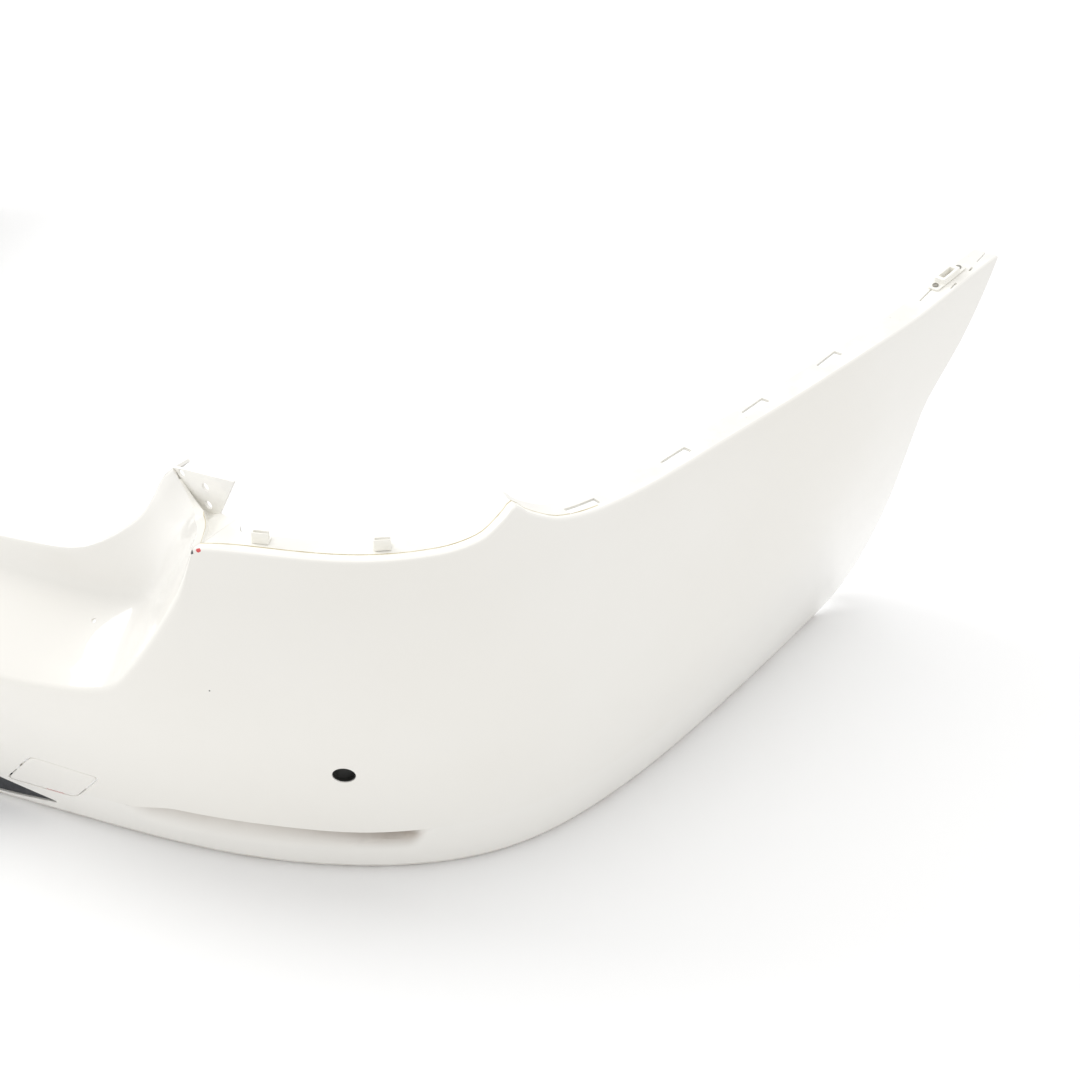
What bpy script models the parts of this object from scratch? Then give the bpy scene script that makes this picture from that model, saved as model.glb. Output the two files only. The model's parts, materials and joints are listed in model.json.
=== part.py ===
"""Rear bumper cover of a large car: moulded skin, lower insert, hinged tow-eye cover, sensor
holders, brackets and fasteners.

Metres, +Z up, +X to the car's right seen from behind, +Y forward into the car. The origin is
at the middle of the footprint, on the plane of the lower edge. The skin is drawn in surface
coordinates: s runs along the lower edge from the centre line, z is height, and the outer face
stands off the lower edge along its plan normal by a section that swells and tucks in again.
"""
import math

import bmesh
import bpy
import numpy as np
from mathutils import Matrix, Vector

# ---------------------------------------------------------------- driving dimensions
SHELL = 0.003                 # wall of the moulded skin
GAP = 0.0003                  # clearance between pieces that touch
HALF_PLAN = [(0.0, -0.022), (0.18, -0.002), (0.362, 0.0455), (0.543, 0.105), (0.657, 0.168),
             (0.722, 0.222), (0.774, 0.293), (0.808, 0.395), (0.829, 0.56), (0.839, 0.80),
             (0.842, 1.08)]   # lower edge from above, centre line to front end
SECTION_Z = [0.0, 0.05, 0.12, 0.20, 0.28, 0.36, 0.43, 0.50]
REAR_SECTION = [0.0, 0.0135, 0.031, 0.047, 0.051, 0.038, 0.0135, -0.018]
FRONT_SECTION = [0.0, 0.018, 0.042, 0.062, 0.074, 0.078, 0.075, 0.068]
FLARE_START, FLARE_END, FLARE_POWER = 1.05, 1.658, 1.9

# top edge of the outer face: (s, height)
TOP_EDGE = [(0.0, 0.230), (0.05, 0.230), (0.35, 0.237), (0.42, 0.245), (0.46, 0.257),
            (0.477, 0.268), (0.50, 0.298), (0.532, 0.351), (0.551, 0.390), (0.557, 0.411),
            (0.561, 0.427), (0.60, 0.429), (0.72, 0.425), (0.786, 0.427), (0.823, 0.433),
            (0.849, 0.447), (0.862, 0.455), (0.873, 0.446), (0.887, 0.438), (0.903, 0.431),
            (0.945, 0.424), (1.11, 0.416), (1.30, 0.407), (1.45, 0.404), (1.613, 0.419)]
# number-plate dish: foot of its wall and boot shut line, (s of the lip, x, y, z)
DISH_FOOT = [(0.0, 0.0, 0.040, 0.288), (0.20, 0.200, 0.051, 0.290), (0.35, 0.350, 0.083, 0.293),
             (0.42, 0.425, 0.104, 0.296), (0.46, 0.455, 0.112, 0.306), (0.477, 0.470, 0.114, 0.319),
             (0.50, 0.489, 0.114, 0.348), (0.532, 0.508, 0.110, 0.377), (0.551, 0.524, 0.105, 0.401),
             (0.557, 0.532, 0.107, 0.417), (0.561, 0.5365, 0.1145, 0.431)]
SHUT_LINE = [(0.0, 0.0, 0.050, 0.326), (0.20, 0.200, 0.060, 0.330), (0.35, 0.335, 0.080, 0.3435),
             (0.42, 0.382, 0.090, 0.353), (0.46, 0.407, 0.102, 0.3645), (0.477, 0.425, 0.114, 0.3785),
             (0.50, 0.4435, 0.126, 0.398), (0.532, 0.453, 0.136, 0.418), (0.551, 0.460, 0.143, 0.437),
             (0.557, 0.466, 0.147, 0.4475), (0.561, 0.4725, 0.149, 0.453)]
WALL_SAG, WALL_SAG_START = (0.0, 0.007, -0.0105), 0.50   # the side wall bellies out at the post
POST_S = 0.561                # the dish's side wall ends here, at the lamp cut-out
PEAK_S = 0.862                # pointed corner between the lamp cut-out and the side

# wheel-arch edge: (height, s)
ARCH_EDGE = [(0.0, 1.385), (0.023, 1.437), (0.06, 1.452), (0.20, 1.454), (0.275, 1.472),
             (0.343, 1.549), (0.379, 1.583), (0.419, 1.613), (0.50, 1.655)]
FAN_START = 0.95              # columns lean towards the arch edge beyond this s
MID_Z = 0.20                  # rows run level below this height

BOTTOM_FOLD, BOTTOM_FLANGE = 0.008, 0.038
LIP_FOLD, LAMP_FOLD = 0.006, 0.003
FOOT_FOLD, SHUT_FOLD, SHUT_FLANGE, SHUT_DROP = 0.014, 0.004, 0.022, 0.002
WALL_SHARES = (0.33, 0.67)    # rows of the dish's wall between its foot and its shoulder
LEDGE, STEP, TOP_FLANGE = 0.012, 0.003, 0.022      # at the lamp cut-out
SIDE_LEDGE, SIDE_STEP = 0.008, 0.0004              # along the side
SIDE_CHANGE = 0.05            # length over which the one turns into the other
LEDGE_DROP, FLANGE_DROP = 0.0005, 0.001            # slight fall of ledge and flange
LIP_TAPER = 0.015             # length over which the lip's fold narrows to the lamp cut-out's
ARCH_FLANGE = 0.027
TIP_REACH = 0.0022            # the front flange's rim lies this far beyond the face's front corner

# lower scoop in each corner: crisp upper edge and soft lower edge, (s, height)
SCOOP_TOP = [(0.0, 0.052), (0.444, 0.060), (0.51, 0.077), (0.60, 0.078), (0.70, 0.074),
             (0.765, 0.076), (0.90, 0.080), (1.66, 0.080)]
SCOOP_FOOT = [(0.444, 0.046), (0.48, 0.034), (0.58, 0.040), (0.664, 0.046), (0.735, 0.061),
              (0.765, 0.074)]
SCOOP_DEPTH = [(0.444, 0.0), (0.50, 0.007), (0.60, 0.012), (0.70, 0.015), (0.74, 0.011),
               (0.765, 0.0)]
SCOOP_UNDERCUT = 0.002        # height over which the crisp edge falls into the scoop

SENSOR_Z, SENSOR_R = 0.179, 0.0118
SENSOR_S = {"outer_right": 0.689, "inner_right": 0.20, "inner_left": -0.20, "outer_left": -0.689}

TOW_CORNERS = [(0.299, 0.047), (0.381, 0.046), (0.425, 0.1025), (0.347, 0.108)]
TOW_CORNER_R, TOW_GAP, TOW_PANEL = 0.010, 0.0018, 0.0025
TOW_RIM, TOW_BOSS_INSET = 0.0015, 0.004            # thin rim, thicker middle
TOW_AXIS_BACK, TOW_AXIS_IN = 0.006, 0.0052         # hook pivot beyond and behind the cover's edge
TOW_HOOK_PLACE, TOW_HOOK_WIDTH, TOW_HOOK_DEEP = (-0.020, 0.020), 0.008, 0.015
TOW_HOOK_T, TOW_HOOK_ROOT, TOW_HOOK_LIP = 0.003, 0.006, 0.001
TOW_SNAP_AT, TOW_SNAP = (0.394, 0.0755), (0.002, 0.024, 0.0085)    # rib: thickness, length, depth

INSERT_TOP = [(0.0, 0.075), (0.18, 0.074), (0.23, 0.064), (0.288, 0.044), (0.350, 0.0235)]
INSERT_FOOT = [(0.0, 0.010), (0.24, 0.010), (0.29, 0.012), (0.350, 0.0200)]
INSERT_GAP, INSERT_SETBACK, INSERT_DEPTH, INSERT_LAP = 0.0012, 0.0015, 0.0066, 0.010
INSERT_END_GAP, INSERT_FOOT_LAP = 0.003, 0.001
INSERT_STATIONS = [0.06, 0.12, 0.18, 0.23, 0.26, 0.288, 0.32]
STUD_S, STUD_UP, STUD_R, STUD_LENGTH = (0.06, 0.165), 0.0055, 0.0016, 0.0125
PUSH_NUT_R, PUSH_NUT_T = 0.006, 0.0012             # push-on nuts that hold the insert's lap

HOLDER_BORE_R, HOLDER_BODY_R, HOLDER_FLANGE_R = 0.0098, 0.0135, 0.0185
HOLDER_FRONT, HOLDER_SEAT, HOLDER_FLANGE_BACK, HOLDER_BACK = -0.001, -0.0045, -0.0065, -0.022
HOLDER_FIT = 0.0005           # the collar is this much smaller than the hole

NUT_R, NUT_HOLE_R, NUT_T = 0.007, 0.0024, 0.0045   # clip nuts on the flanges
ARCH_NUT_GAP = 0.0012
BRACKET_SPAN, BRACKET = (1.517, 1.583), (0.056, 0.014, 0.002)       # length, width, base
BRACKET_BOX, BRACKET_WINDOW = (0.032, 0.0132, 0.008), (0.022, 0.007)
BRACKET_LIFT, SCREW_X, SCREW_HOLE_R = 0.0005, 0.022, 0.0019
SCREW_PROFILE = [(0.0014, -0.007), (0.0014, 0.0023), (0.0034, 0.0023), (0.0030, 0.0045)]
LAMP_CLIP_SPANS, LAMP_CLIP_LIFT, LAMP_CLIP_WIDTH = ((0.60, 0.64), (0.72, 0.75)), 0.0006, 0.016
LAMP_CLIP = [(-0.006, 0.0), (0.006, 0.0), (0.006, 0.0015), (-0.0030, 0.0015), (-0.0035, 0.012),
             (-0.006, 0.012)]                      # side view: across the flange, up

PLATE_Y, PLATE_T = 0.150, 0.003                    # upright flange behind the post
PLATE_OUTLINE = [(0.4665, 0.440), (0.4675, 0.4475), (0.474, 0.4535), (0.490, 0.4575), (0.5535, 0.4705),
                 (0.517, 0.399), (0.500, 0.401), (0.484, 0.420)]   # (x, z)
PLATE_HOLES = [(0.483, 0.4505), (0.514, 0.4475), (0.5155, 0.4272)]
POST_DEPTH, POST_CHANNEL, POST_CLEAR = 0.055, 0.010, 0.020        # channel between post and flange
POST_LEDGE_SHARE, POST_CHANNEL_RISE = 0.45, 1.5
PLATE_HOLE_R = 0.0045

SIDE_Z, SIDE_S_RANGE = 0.41, (0.9, 1.62)           # height and reach of the side's top edge
SIDE_SLOT_Z = (0.385, 0.440)
# slots along the side's top flange: y, distance inside the top edge, length, width
SIDE_SLOTS = [(y, 0.0205, 0.038, 0.010) for y in (0.36, 0.49, 0.62, 0.75)]
TIP_SLOTS = [(0.928, 0.0200, 0.028, 0.0024), (0.958, 0.0060, 0.013, 0.0024),
             (0.996, 0.0100, 0.008, 0.0024), (1.0235, 0.0145, 0.023, 0.0024)]
ARCH_HOLE_Z, ARCH_HOLE_R = (0.07, 0.15, 0.23), 0.0032
ARCH_HOLE_SHIFT = 0.002       # forwards of the middle of the arch flange
FLANGE_HOLE_S, FLANGE_HOLE_R = (0.14, 0.50, 0.84, 1.20), 0.0032
FLANGE_HOLE_INSET = 0.014     # from the inner edge of the bottom flange
DISH_HOLE_S, DISH_HOLE_R, DISH_HOLE_UP, DISH_HOLE_SKEW = 0.405, 0.0026, 0.028, 0.3
CUT_REACH = 0.010             # cutters stand this far out of the surface on both sides
OVERLAP = 0.0003              # how far joined shapes run into each other
MERGE = 0.00005               # points closer than this are one
SKIN_ROWS, HOLLOW_ROWS = (3, 3, 4), 4              # rows of the face below, up to and above MID_Z

# columns of the skin's grid
SKIN_STATIONS = [0.0, 0.10, 0.19, 0.27, 0.34, 0.39, 0.43, 0.46, 0.477, 0.49, 0.505, 0.52, 0.535,
                 0.548, POST_S, 0.60, 0.64, 0.68, 0.72, 0.75, 0.78, 0.81, 0.835, 0.852,
                 PEAK_S, 0.873, 0.888, 0.91, 0.95, 1.02, 1.10, 1.18, 1.27, 1.36, 1.45,
                 1.517, 1.583, TOP_EDGE[-1][0]]

WHITE = (0.83, 0.82, 0.78)
BLACK = (0.035, 0.036, 0.038)
STEEL = (0.42, 0.41, 0.38)
CREAM = (0.80, 0.78, 0.70)


# ---------------------------------------------------------------- curves
def smooth_curve(knots, values):
    """Natural cubic spline through the knots; values may be vectors."""
    k = np.asarray(knots, float)
    v = np.asarray(values, float).reshape(len(k), -1)
    n = len(k)
    h = np.diff(k)
    a = np.eye(n)
    b = np.zeros_like(v)
    for i in range(1, n - 1):
        a[i, i - 1:i + 2] = h[i - 1], 2 * (h[i - 1] + h[i]), h[i]
        b[i] = 6 * ((v[i + 1] - v[i]) / h[i] - (v[i] - v[i - 1]) / h[i - 1])
    m = np.linalg.solve(a, b)

    def value(x):
        x = np.asarray(x, float)
        j = np.clip(np.searchsorted(k, x, side="right") - 1, 0, n - 2)
        width = h[j][..., None]
        p = (k[j + 1] - x)[..., None] / width
        q = 1 - p
        bend = (p ** 3 - p) * m[j] + (q ** 3 - q) * m[j + 1]
        return p * v[j] + q * v[j + 1] + bend * width * width / 6
    return value


def tidy_curve(points):
    """Cubic through (x, value...) points that never overshoots them."""
    pts = np.asarray(points, float)
    k, v = pts[:, 0], pts[:, 1:]
    h = np.diff(k)[:, None]
    slope = np.diff(v, axis=0) / h
    d = np.zeros_like(v)
    d[0], d[-1] = slope[0], slope[-1]
    w1, w2 = 2 * h[1:] + h[:-1], h[1:] + 2 * h[:-1]
    same = slope[:-1] * slope[1:] > 0
    safe_a = np.where(same, slope[:-1], 1.0)
    safe_b = np.where(same, slope[1:], 1.0)
    d[1:-1] = np.where(same, (w1 + w2) / (w1 / safe_a + w2 / safe_b), 0.0)

    def value(x):
        x = np.asarray(x, float)
        j = np.clip(np.searchsorted(k, x, side="right") - 1, 0, len(k) - 2)
        width = h[j]
        t = np.clip((x - k[j])[..., None] / width, 0, 1)
        out = ((1 + 2 * t) * (1 - t) ** 2 * v[j] + t * (1 - t) ** 2 * width * d[j]
               + t * t * (3 - 2 * t) * v[j + 1] - t * t * (1 - t) * width * d[j + 1])
        return out[..., 0] if v.shape[1] == 1 else out
    return value


def arc_length_curve(points):
    """Spline through plan points of the right half, mirrored, with s as its true length."""
    half = np.asarray(points, float)
    full = np.vstack([half[::-1] * [-1, 1], half[1:]])
    chord = np.r_[0, np.cumsum(np.linalg.norm(np.diff(full, axis=0), axis=1))]
    chord -= chord[len(half) - 1]
    raw = smooth_curve(chord, full)
    fine = np.linspace(chord[0], chord[-1], 4001)
    steps = np.linalg.norm(np.diff(raw(fine), axis=0), axis=1)
    length = np.r_[0, np.cumsum(steps)]
    length -= np.interp(0, fine, length)
    return lambda s: raw(np.interp(s, length, fine))


plan = arc_length_curve(HALF_PLAN)
rear_section = smooth_curve(SECTION_Z, REAR_SECTION)
front_section = smooth_curve(SECTION_Z, FRONT_SECTION)
top_edge = tidy_curve(TOP_EDGE)
dish_foot = tidy_curve(DISH_FOOT)
shut_line = tidy_curve(SHUT_LINE)
arch_edge = tidy_curve(ARCH_EDGE)
scoop_top = tidy_curve(SCOOP_TOP)
scoop_foot = tidy_curve(SCOOP_FOOT)
scoop_depth = tidy_curve(SCOOP_DEPTH)


def normal(s):
    """Outward normal of the lower edge in plan."""
    step = 1e-4
    along = plan(s + step) - plan(s - step)
    along = along / np.linalg.norm(along, axis=-1, keepdims=True)
    return np.stack([along[..., 1], -along[..., 0]], -1)


def offset(s, z):
    """How far the outer face stands off the lower edge."""
    flare = np.clip((np.abs(s) - FLARE_START) / (FLARE_END - FLARE_START), 0, 1) ** FLARE_POWER
    rear, front = rear_section(z)[..., 0], front_section(z)[..., 0]
    return rear + (front - rear) * flare


REAR_Y = float(plan(0.0)[1] - rear_section(np.linspace(0, 0.5, 501)).max())
TIP_S, TIP_Z = TOP_EDGE[-1]
FRONT_Y = float(plan(TIP_S)[1] + normal(TIP_S)[1] * offset(TIP_S, np.array(TIP_Z))) + TIP_REACH
SHIFT_Y = -(REAR_Y + FRONT_Y) / 2      # puts the origin at the middle of the footprint


def face(s, z, out=0.0):
    """Point on the outer face, moved outwards by out."""
    s, z = np.broadcast_arrays(np.asarray(s, float), np.asarray(z, float))
    p = plan(s) + normal(s) * (offset(s, z) + out)[..., None]
    return np.concatenate([p, z[..., None]], -1)


def inward(s, z, distance, drop=0.0):
    """Point level with the face at (s, z), moved inwards and down."""
    p = face(s, z, -distance)
    p[..., 2] -= drop
    return p


def smooth_step(t):
    t = min(max(t, 0.0), 1.0)
    return t * t * (3 - 2 * t)


def fold(start, corner, end, count):
    """Points that round a corner from start to end, both included."""
    t = np.linspace(0, 1, count)[:, None]
    start, corner, end = (np.asarray(p, float) for p in (start, corner, end))
    return list((1 - t) ** 2 * start + 2 * t * (1 - t) * corner + t * t * end)


def towards(a, b, distance):
    """Point at a distance from a towards b, at most half way."""
    a, b = np.asarray(a, float), np.asarray(b, float)
    length = np.linalg.norm(b - a)
    return a + (b - a) / length * min(distance, length / 2)


# ---------------------------------------------------------------- skin surface
def scoop(s, z):
    """Depth of the lower scoop at a point of the face."""
    if not SCOOP_FOOT[0][0] < s < SCOOP_FOOT[-1][0]:
        return 0.0
    top, foot = float(scoop_top(s)), float(scoop_foot(s))
    if z >= top or z <= foot:
        return 0.0
    return float(scoop_depth(s)) * smooth_step((z - foot) / (top - SCOOP_UNDERCUT - foot))


def edge_fold(sigma):
    """Fold radius at the top edge, and the way across it in (s, height)."""
    slope = float(top_edge(sigma + 5e-4) - top_edge(sigma - 5e-4)) / 1e-3
    length = math.hypot(1.0, slope)
    taper = min(max((POST_S - sigma) / LIP_TAPER, 0.0), 1.0)
    radius = LAMP_FOLD + (LIP_FOLD - LAMP_FOLD) * taper
    return radius * slope / length * taper, -radius / length


def lean(sigma, z):
    """Surface s of column sigma at height z.

    Columns fan out towards the wheel arch, and meet the steep side of the dish squarely.
    """
    if sigma > FAN_START:
        share = (sigma - FAN_START) / (TIP_S - FAN_START)
        return FAN_START + (float(arch_edge(z)) - FAN_START) * share
    if sigma >= POST_S or z <= MID_Z:
        return sigma
    across, down = edge_fold(sigma)
    return sigma + across * ((z - MID_Z) / (float(top_edge(sigma)) + down - MID_Z)) ** 2


def face_heights(sigma, top, rows):
    """Heights of the rows of one column between the lower fold and the top fold."""
    low, mid, high = rows
    crisp = float(scoop_top(sigma))
    heights = list(np.linspace(BOTTOM_FOLD, crisp - SCOOP_UNDERCUT, low + 1))
    heights += list(np.linspace(crisp, MID_Z, mid + 1))
    heights += list(np.linspace(MID_Z, top, high + 1)[1:])
    return heights


def face_column(sigma, top, rows):
    """Outer face of one column, from the inner edge of the bottom flange up to the top fold."""
    points = []
    for z in face_heights(sigma, top, rows):
        s = lean(sigma, z)
        points.append(face(s, z, -scoop(s, z)))
    s = lean(sigma, 0.0)
    lower = fold(face(s, 0.0, -BOTTOM_FOLD), face(s, 0.0), points[0], 4)
    return [face(s, 0.0, -BOTTOM_FLANGE)] + lower[:-1] + points


def dish_column(sigma, edge, below, rows):
    """Dish of one column, from the lip over its slope and wall to the flange at the shut line."""
    foot, shut = dish_foot(sigma), shut_line(sigma)
    inner = shut + np.array([0.0, SHUT_FLANGE, -SHUT_DROP])
    lip = fold(below, edge, towards(edge, foot, np.linalg.norm(edge - below)), 3)
    bend = min(FOOT_FOLD, np.linalg.norm(foot - edge) / 3)
    hollow = fold(towards(foot, edge, bend), foot, towards(foot, shut, bend), rows)
    shoulder = fold(towards(shut, foot, SHUT_FOLD), shut, towards(shut, inner, SHUT_FOLD), 3)
    sag = np.array(WALL_SAG) * smooth_step((sigma - WALL_SAG_START) / (POST_S - WALL_SAG_START))
    rise = shoulder[0] - hollow[-1]
    wall = [hollow[-1] + rise * t + sag * 4 * t * (1 - t) for t in WALL_SHARES]
    return lip[1:] + hollow + wall + shoulder + [inner]


def strip_widths(sigma):
    """Ledge, step and flange of the top strip, which is plainer along the side."""
    side = smooth_step((sigma - PEAK_S) / SIDE_CHANGE)
    ledge = LEDGE + (SIDE_LEDGE - LEDGE) * side
    step = STEP + (SIDE_STEP - STEP) * side
    return ledge, step, TOP_FLANGE


def strip_column(sigma, edge, below):
    """Ledge, step and flange of one column beyond the lamp cut-out's or the side's edge."""
    ledge, step, flange = strip_widths(sigma)
    s, z = lean(sigma, edge[2]), edge[2]
    ledge_end = inward(s, z, ledge, LEDGE_DROP)
    step_end = inward(s, z, ledge + STEP, step)
    rim = inward(s, z, ledge + flange, step + FLANGE_DROP)
    lip = fold(below, edge, towards(edge, ledge_end, LAMP_FOLD), 3)
    return lip[1:] + [ledge_end, step_end, rim]


def post_strip(point, below=None):
    """Strip forwards from the post's edge at one point, down into a channel, to the upright flange."""
    depth = PLATE_Y + PLATE_T / 2 - point[1]
    ledge = min(LEDGE, POST_LEDGE_SHARE * depth)
    drop = STEP + POST_CHANNEL * min(1.0, POST_CHANNEL_RISE * (1 - depth / POST_DEPTH))
    ledge_end = point + np.array([0.0, ledge, -LEDGE_DROP])
    step_end = ledge_end + np.array([0.0, STEP, -drop])
    rim = point + np.array([0.0, depth, -drop - FLANGE_DROP])
    if below is None:
        third = (ledge_end - point) / 3
        return [point + third, point + 2 * third, ledge_end, step_end, rim]
    lip = fold(below, point, towards(point, ledge_end, LAMP_FOLD), 3)
    return lip[1:] + [ledge_end, step_end, rim]


def grid_faces(columns):
    """Quads between neighbouring columns of equal length, as tuples of points."""
    quads = []
    for left, right in zip(columns, columns[1:]):
        for i in range(len(left) - 1):
            quads.append((left[i], right[i], right[i + 1], left[i + 1]))
    return quads


def half_skin(sigmas, rows, hollow_rows):
    """Quads of the right half of the skin's outer surface."""
    faces, dishes, strips = [], [], []
    for sigma in sigmas:
        top = float(top_edge(sigma))
        edge = face(sigma if sigma <= FAN_START else lean(sigma, top), top)
        down = edge_fold(sigma)[1] if sigma < POST_S else -LAMP_FOLD
        column = face_column(sigma, top + down, rows)
        faces.append(column)
        if sigma <= POST_S:
            dishes.append([column[-1]] + dish_column(sigma, edge, column[-1], hollow_rows))
        if sigma == POST_S:
            strips.append([column[-1]] + post_strip(edge, column[-1]))
        if sigma > POST_S:
            strips.append([column[-1]] + strip_column(sigma, edge, column[-1]))
    edge_points = [p for p in dishes[-1][1:-3] if p[1] < PLATE_Y - POST_CLEAR]
    post = [strips[0]] + [[point] + post_strip(point) for point in edge_points]
    arch = []
    for i in range(4, len(faces[-1])):
        corner = faces[-1][i]
        s = float(arch_edge(corner[2]))
        back = [inward(s, corner[2], d) for d in (ARCH_FLANGE / 2, ARCH_FLANGE)]
        arch.append([corner] + back)
    quads = grid_faces(faces) + grid_faces(dishes) + grid_faces(strips)
    quads += [quad[::-1] for quad in grid_faces(post)]
    quads += [quad[::-1] for quad in grid_faces(arch[1:-1])]
    return quads


def skin_mesh(sigmas, rows, hollow_rows):
    """Closed skin: both halves of the outer surface, merged and thickened inwards."""
    bm = bmesh.new()
    for sign in (1, -1):
        for quad in half_skin(sigmas, rows, hollow_rows):
            points = quad if sign > 0 else quad[::-1]
            corners = [bm.verts.new((sign * p[0], p[1] + SHIFT_Y, p[2])) for p in points]
            bm.faces.new(corners)
    bmesh.ops.remove_doubles(bm, verts=bm.verts, dist=MERGE)
    bmesh.ops.dissolve_degenerate(bm, edges=bm.edges, dist=MERGE)
    return bm


# ---------------------------------------------------------------- helpers for pieces
def flat_face(s, z, out=0.0):
    """Point on the skin as built, which runs straight between its stations."""
    right = min(i for i, station in enumerate(SKIN_STATIONS) if station >= abs(s) and i > 0)
    a, b = SKIN_STATIONS[right - 1], SKIN_STATIONS[right]
    side = math.copysign(1.0, s)
    share = (abs(s) - a) / (b - a)
    return face(side * a, z, out) * (1 - share) + face(side * b, z, out) * share


def frame_at(s, z, out=0.0):
    """Matrix with its origin on the face, +Z outwards along the face, +X along s."""
    step = 1e-3
    origin = flat_face(s, z, out)
    along = Vector(face(s + step, z) - face(s - step, z)).normalized()
    up = Vector(face(s, z + step) - face(s, z - step)).normalized()
    outward = along.cross(up).normalized()
    side = outward.cross(along)
    matrix = Matrix((along, side, outward)).transposed().to_4x4()
    matrix.translation = Vector(origin) + Vector((0, SHIFT_Y, 0))
    return matrix


def material(name, colour, roughness, metallic=0.0):
    mat = bpy.data.materials.get(name) or bpy.data.materials.new(name)
    mat.use_nodes = True
    shader = mat.node_tree.nodes["Principled BSDF"]
    shader.inputs["Base Color"].default_value = (*colour, 1.0)
    shader.inputs["Roughness"].default_value = roughness
    shader.inputs["Metallic"].default_value = metallic
    return mat


def add_object(name, bm, mat, smooth=True):
    """New object from a bmesh, with its faces turned outwards."""
    bmesh.ops.recalc_face_normals(bm, faces=bm.faces)
    mesh = bpy.data.meshes.new(name)
    bm.to_mesh(mesh)
    bm.free()
    obj = bpy.data.objects.new(name, mesh)
    bpy.context.scene.collection.objects.link(obj)
    if mat:
        mesh.materials.append(mat)
    if smooth:
        mesh.shade_smooth()
        mesh.set_sharp_from_angle(angle=math.radians(35))
    return obj


def add_prism(bm, outline, low, high, matrix=Matrix.Identity(4)):
    """Closed prism over a flat outline of (x, y) points, between two heights."""
    rings = [[bm.verts.new(matrix @ Vector((x, y, h))) for x, y in outline] for h in (low, high)]
    count = len(outline)
    bm.faces.new(rings[0][::-1])
    bm.faces.new(rings[1])
    for i in range(count):
        j = (i + 1) % count
        bm.faces.new((rings[0][i], rings[0][j], rings[1][j], rings[1][i]))


def add_box(bm, low, high, matrix=Matrix.Identity(4)):
    outline = [(low[0], low[1]), (high[0], low[1]), (high[0], high[1]), (low[0], high[1])]
    add_prism(bm, outline, low[2], high[2], matrix)


def add_ring(bm, radius, hole, low, high, matrix):
    """Closed washer about the matrix's Z axis."""
    add_turned(bm, [(hole, low), (radius, low), (radius, high), (hole, high)], matrix, 10)


def add_turned(bm, profile, matrix, count):
    """Closed ring from a closed (radius, height) profile, turned about the matrix's Z axis."""
    rings = []
    for i in range(count):
        turn = 2 * math.pi * i / count
        points = [(r * math.cos(turn), r * math.sin(turn), z) for r, z in profile]
        rings.append([bm.verts.new(matrix @ Vector(p)) for p in points])
    for i, ring in enumerate(rings):
        after = rings[(i + 1) % count]
        for j in range(len(profile)):
            k = (j + 1) % len(profile)
            bm.faces.new((ring[j], after[j], after[k], ring[k]))


def add_lathe(bm, profile, matrix, count):
    """Closed solid of revolution with flat ends, from (radius, height) steps going up."""
    loops = []
    for radius, height in profile:
        points = [matrix @ Vector((x, y, height)) for x, y in circle(radius, count)]
        loops.append([bm.verts.new(p) for p in points])
    bm.faces.new(loops[0][::-1])
    bm.faces.new(loops[-1])
    for low, high in zip(loops, loops[1:]):
        for i in range(count):
            j = (i + 1) % count
            bm.faces.new((low[i], low[j], high[j], high[i]))


def circle(radius, count):
    turns = [2 * math.pi * i / count for i in range(count)]
    return [(radius * math.cos(a), radius * math.sin(a)) for a in turns]


def rounded(corners, radius, steps=3):
    """Outline of a polygon whose corners are rounded with short curves."""
    points = []
    count = len(corners)
    for i, corner in enumerate(corners):
        before, after = corners[i - 1], corners[(i + 1) % count]
        start, end = towards(corner, before, radius), towards(corner, after, radius)
        points += fold(start, corner, end, steps + 1)
    return [tuple(p) for p in points]


def grow(corners, amount):
    """Convex polygon, anticlockwise, with every side moved outwards."""
    lines = []
    count = len(corners)
    for i in range(count):
        a, b = np.array(corners[i]), np.array(corners[(i + 1) % count])
        along = (b - a) / np.linalg.norm(b - a)
        lines.append((a + np.array([along[1], -along[0]]) * amount, along))
    grown = []
    for i in range(count):
        (p, u), (q, v) = lines[i - 1], lines[i]
        t = np.linalg.solve(np.column_stack([u, -v]), q - p)[0]
        grown.append(tuple(p + u * t))
    return grown


def add_face_slab(bm, outline, low, high):
    """Closed slab that follows the face: an (s, z) outline between two distances from it."""
    rings = []
    for out in (low, high):
        points = [flat_face(s, z, out) for s, z in outline]
        rings.append([bm.verts.new((p[0], p[1] + SHIFT_Y, p[2])) for p in points])
    count = len(outline)
    caps = [bm.faces.new(rings[0][::-1]), bm.faces.new(rings[1])]
    for i in range(count):
        j = (i + 1) % count
        bm.faces.new((rings[0][i], rings[0][j], rings[1][j], rings[1][i]))
    bmesh.ops.triangulate(bm, faces=caps)


def add_face_band(bm, low_curve, high_curve, stations, reach):
    """Closed band that follows the face between two (s -> z) curves and two distances."""
    inner, outer = reach
    rings = []
    for s in stations:
        foot, top = low_curve(s), high_curve(s)
        corners = [(foot, inner), (foot, outer), (top, outer), (top, inner)]
        points = [flat_face(s, z, out) for z, out in corners]
        rings.append([bm.verts.new((p[0], p[1] + SHIFT_Y, p[2])) for p in points])
    bm.faces.new(rings[0])
    bm.faces.new(rings[-1][::-1])
    for a, b in zip(rings, rings[1:]):
        for i in range(4):
            j = (i + 1) % 4
            bm.faces.new((a[i], b[i], b[j], a[j]))


def boolean(target, name, bm, operation):
    """Boolean of target with a hidden tool made from a bmesh."""
    tool = add_object(name, bm, None, smooth=False)
    tool.hide_render = True
    tool.display_type = "WIRE"
    modifier = target.modifiers.new(name, "BOOLEAN")
    modifier.operation = operation
    modifier.solver = "EXACT"
    modifier.use_self = operation == "UNION"
    modifier.object = tool


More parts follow.
